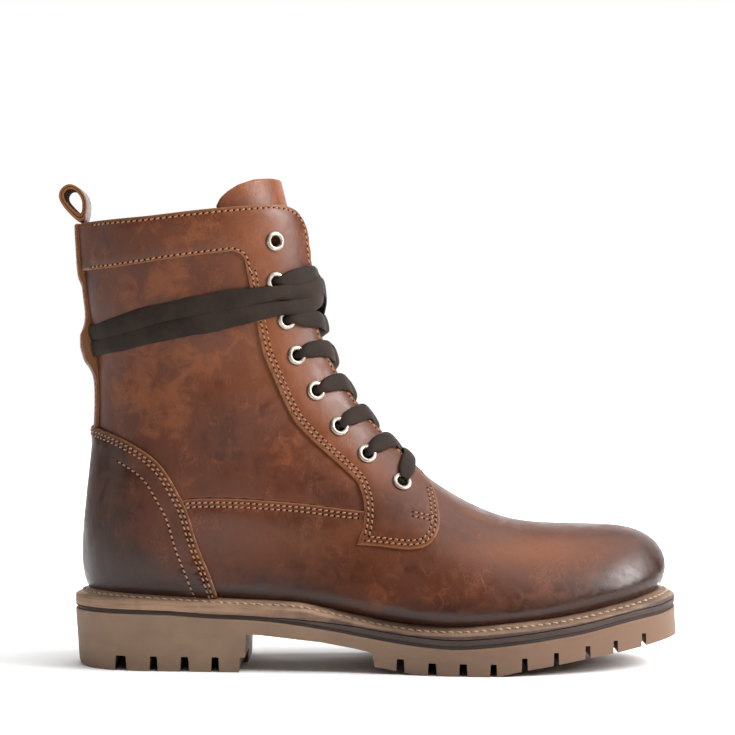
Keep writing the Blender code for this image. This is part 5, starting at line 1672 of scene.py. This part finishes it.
# --- studio ---------------------------------------------------------------------------------------
def area_light(name, place, target, size, power):
    light = bpy.data.lights.new(name, "AREA")
    light.shape = "RECTANGLE"
    light.size, light.size_y = size
    light.energy = power
    add_object(name, light, place, (Vector(target) - Vector(place)).to_track_quat("-Z", "Y").to_euler())


AMBIENT = 0.06               # how brightly the white surroundings light the boot
FLOOR = 4.0                  # half the floor's width, in metres


def make_studio():
    scene = bpy.context.scene
    scene.view_settings.view_transform = "Standard"
    world = bpy.data.worlds.new("studio")
    world.use_nodes = True
    tree = world.node_tree
    back = tree.nodes["Background"]
    back.inputs["Color"].default_value = (1, 1, 1, 1)
    path = tree.nodes.new("ShaderNodeLightPath")
    level = tree.nodes.new("ShaderNodeMapRange")
    level.inputs["To Min"].default_value = AMBIENT
    level.inputs["To Max"].default_value = 1.0
    tree.links.new(path.outputs["Is Camera Ray"], level.inputs["Value"])
    tree.links.new(level.outputs["Result"], back.inputs["Strength"])
    scene.world = world
    floor = bpy.data.meshes.new("floor")
    corners = [(-FLOOR, -FLOOR, 0), (FLOOR, -FLOOR, 0), (FLOOR, FLOOR, 0), (-FLOOR, FLOOR, 0)]
    floor.from_pydata(corners, [], [(0, 1, 2, 3)])
    obj = add_object("studio_floor", floor)
    s = Shader("floor_paper", Specular_IOR_Level=0.1)
    s.set("Base Color", s.blend(s.noise(300, 2), (0.90, 0.90, 0.90), (0.93, 0.93, 0.93)))
    s.set("Roughness", s.fit(s.noise(50, 2), 0.3, 0.7, 0.85, 0.95))
    # The floor glows more with distance from the boot: a painted glow that whitens the far floor and a
    # painted soft shadow round the boot.
    s.set("Emission Color", (1, 1, 1, 1))
    across = s.node("Mapping", {"Vector": s.place, "Scale": (5.2, 11.0, 0.0)}).outputs[0]
    away = s.node("VectorMath", {0: across}, operation="LENGTH").outputs["Value"]
    s.set("Emission Strength", s.fit(away, 0.75, 1.8, 0.0, 0.62))
    floor.materials.append(s.material)
    sun = bpy.data.lights.new("overhead", "SUN")
    sun.energy, sun.angle = 2.7, math.radians(75)
    add_object("overhead", sun, turn=(math.radians(2), math.radians(20), 0))
    area_light("key", (1.2, -0.35, 0.75), (0.02, 0.0, 0.12), (0.7, 0.7), 29.0)
    area_light("left", (-1.3, -0.30, 0.7), (-0.05, 0.0, 0.12), (0.4, 0.9), 2.5)
    area_light("front", (-0.2, -1.6, 1.1), (0.0, 0.0, 0.1), (1.6, 0.5), 1.2)
    area_light("back", (0.1, 1.3, 0.55), (0.0, 0.0, 0.1), (2.4, 0.9), 14.0)
    camera = bpy.data.cameras.new("camera")
    camera.lens, camera.sensor_width = 105.4, 36.0
    camera.clip_start, camera.clip_end = 0.05, 50
    scene.camera = add_object("camera", camera, (0, -1.1, 0.1505), (math.pi / 2, 0, 0))


make_studio()
make_vamp()
make_quarters()
make_eyestays()
make_counter()
make_seams(make_strap())
make_linings()
make_tongue()
make_eyelets()
make_pull_loop()
make_lace()
make_bottom()
make_footbed()
finish_hidden_nodes()
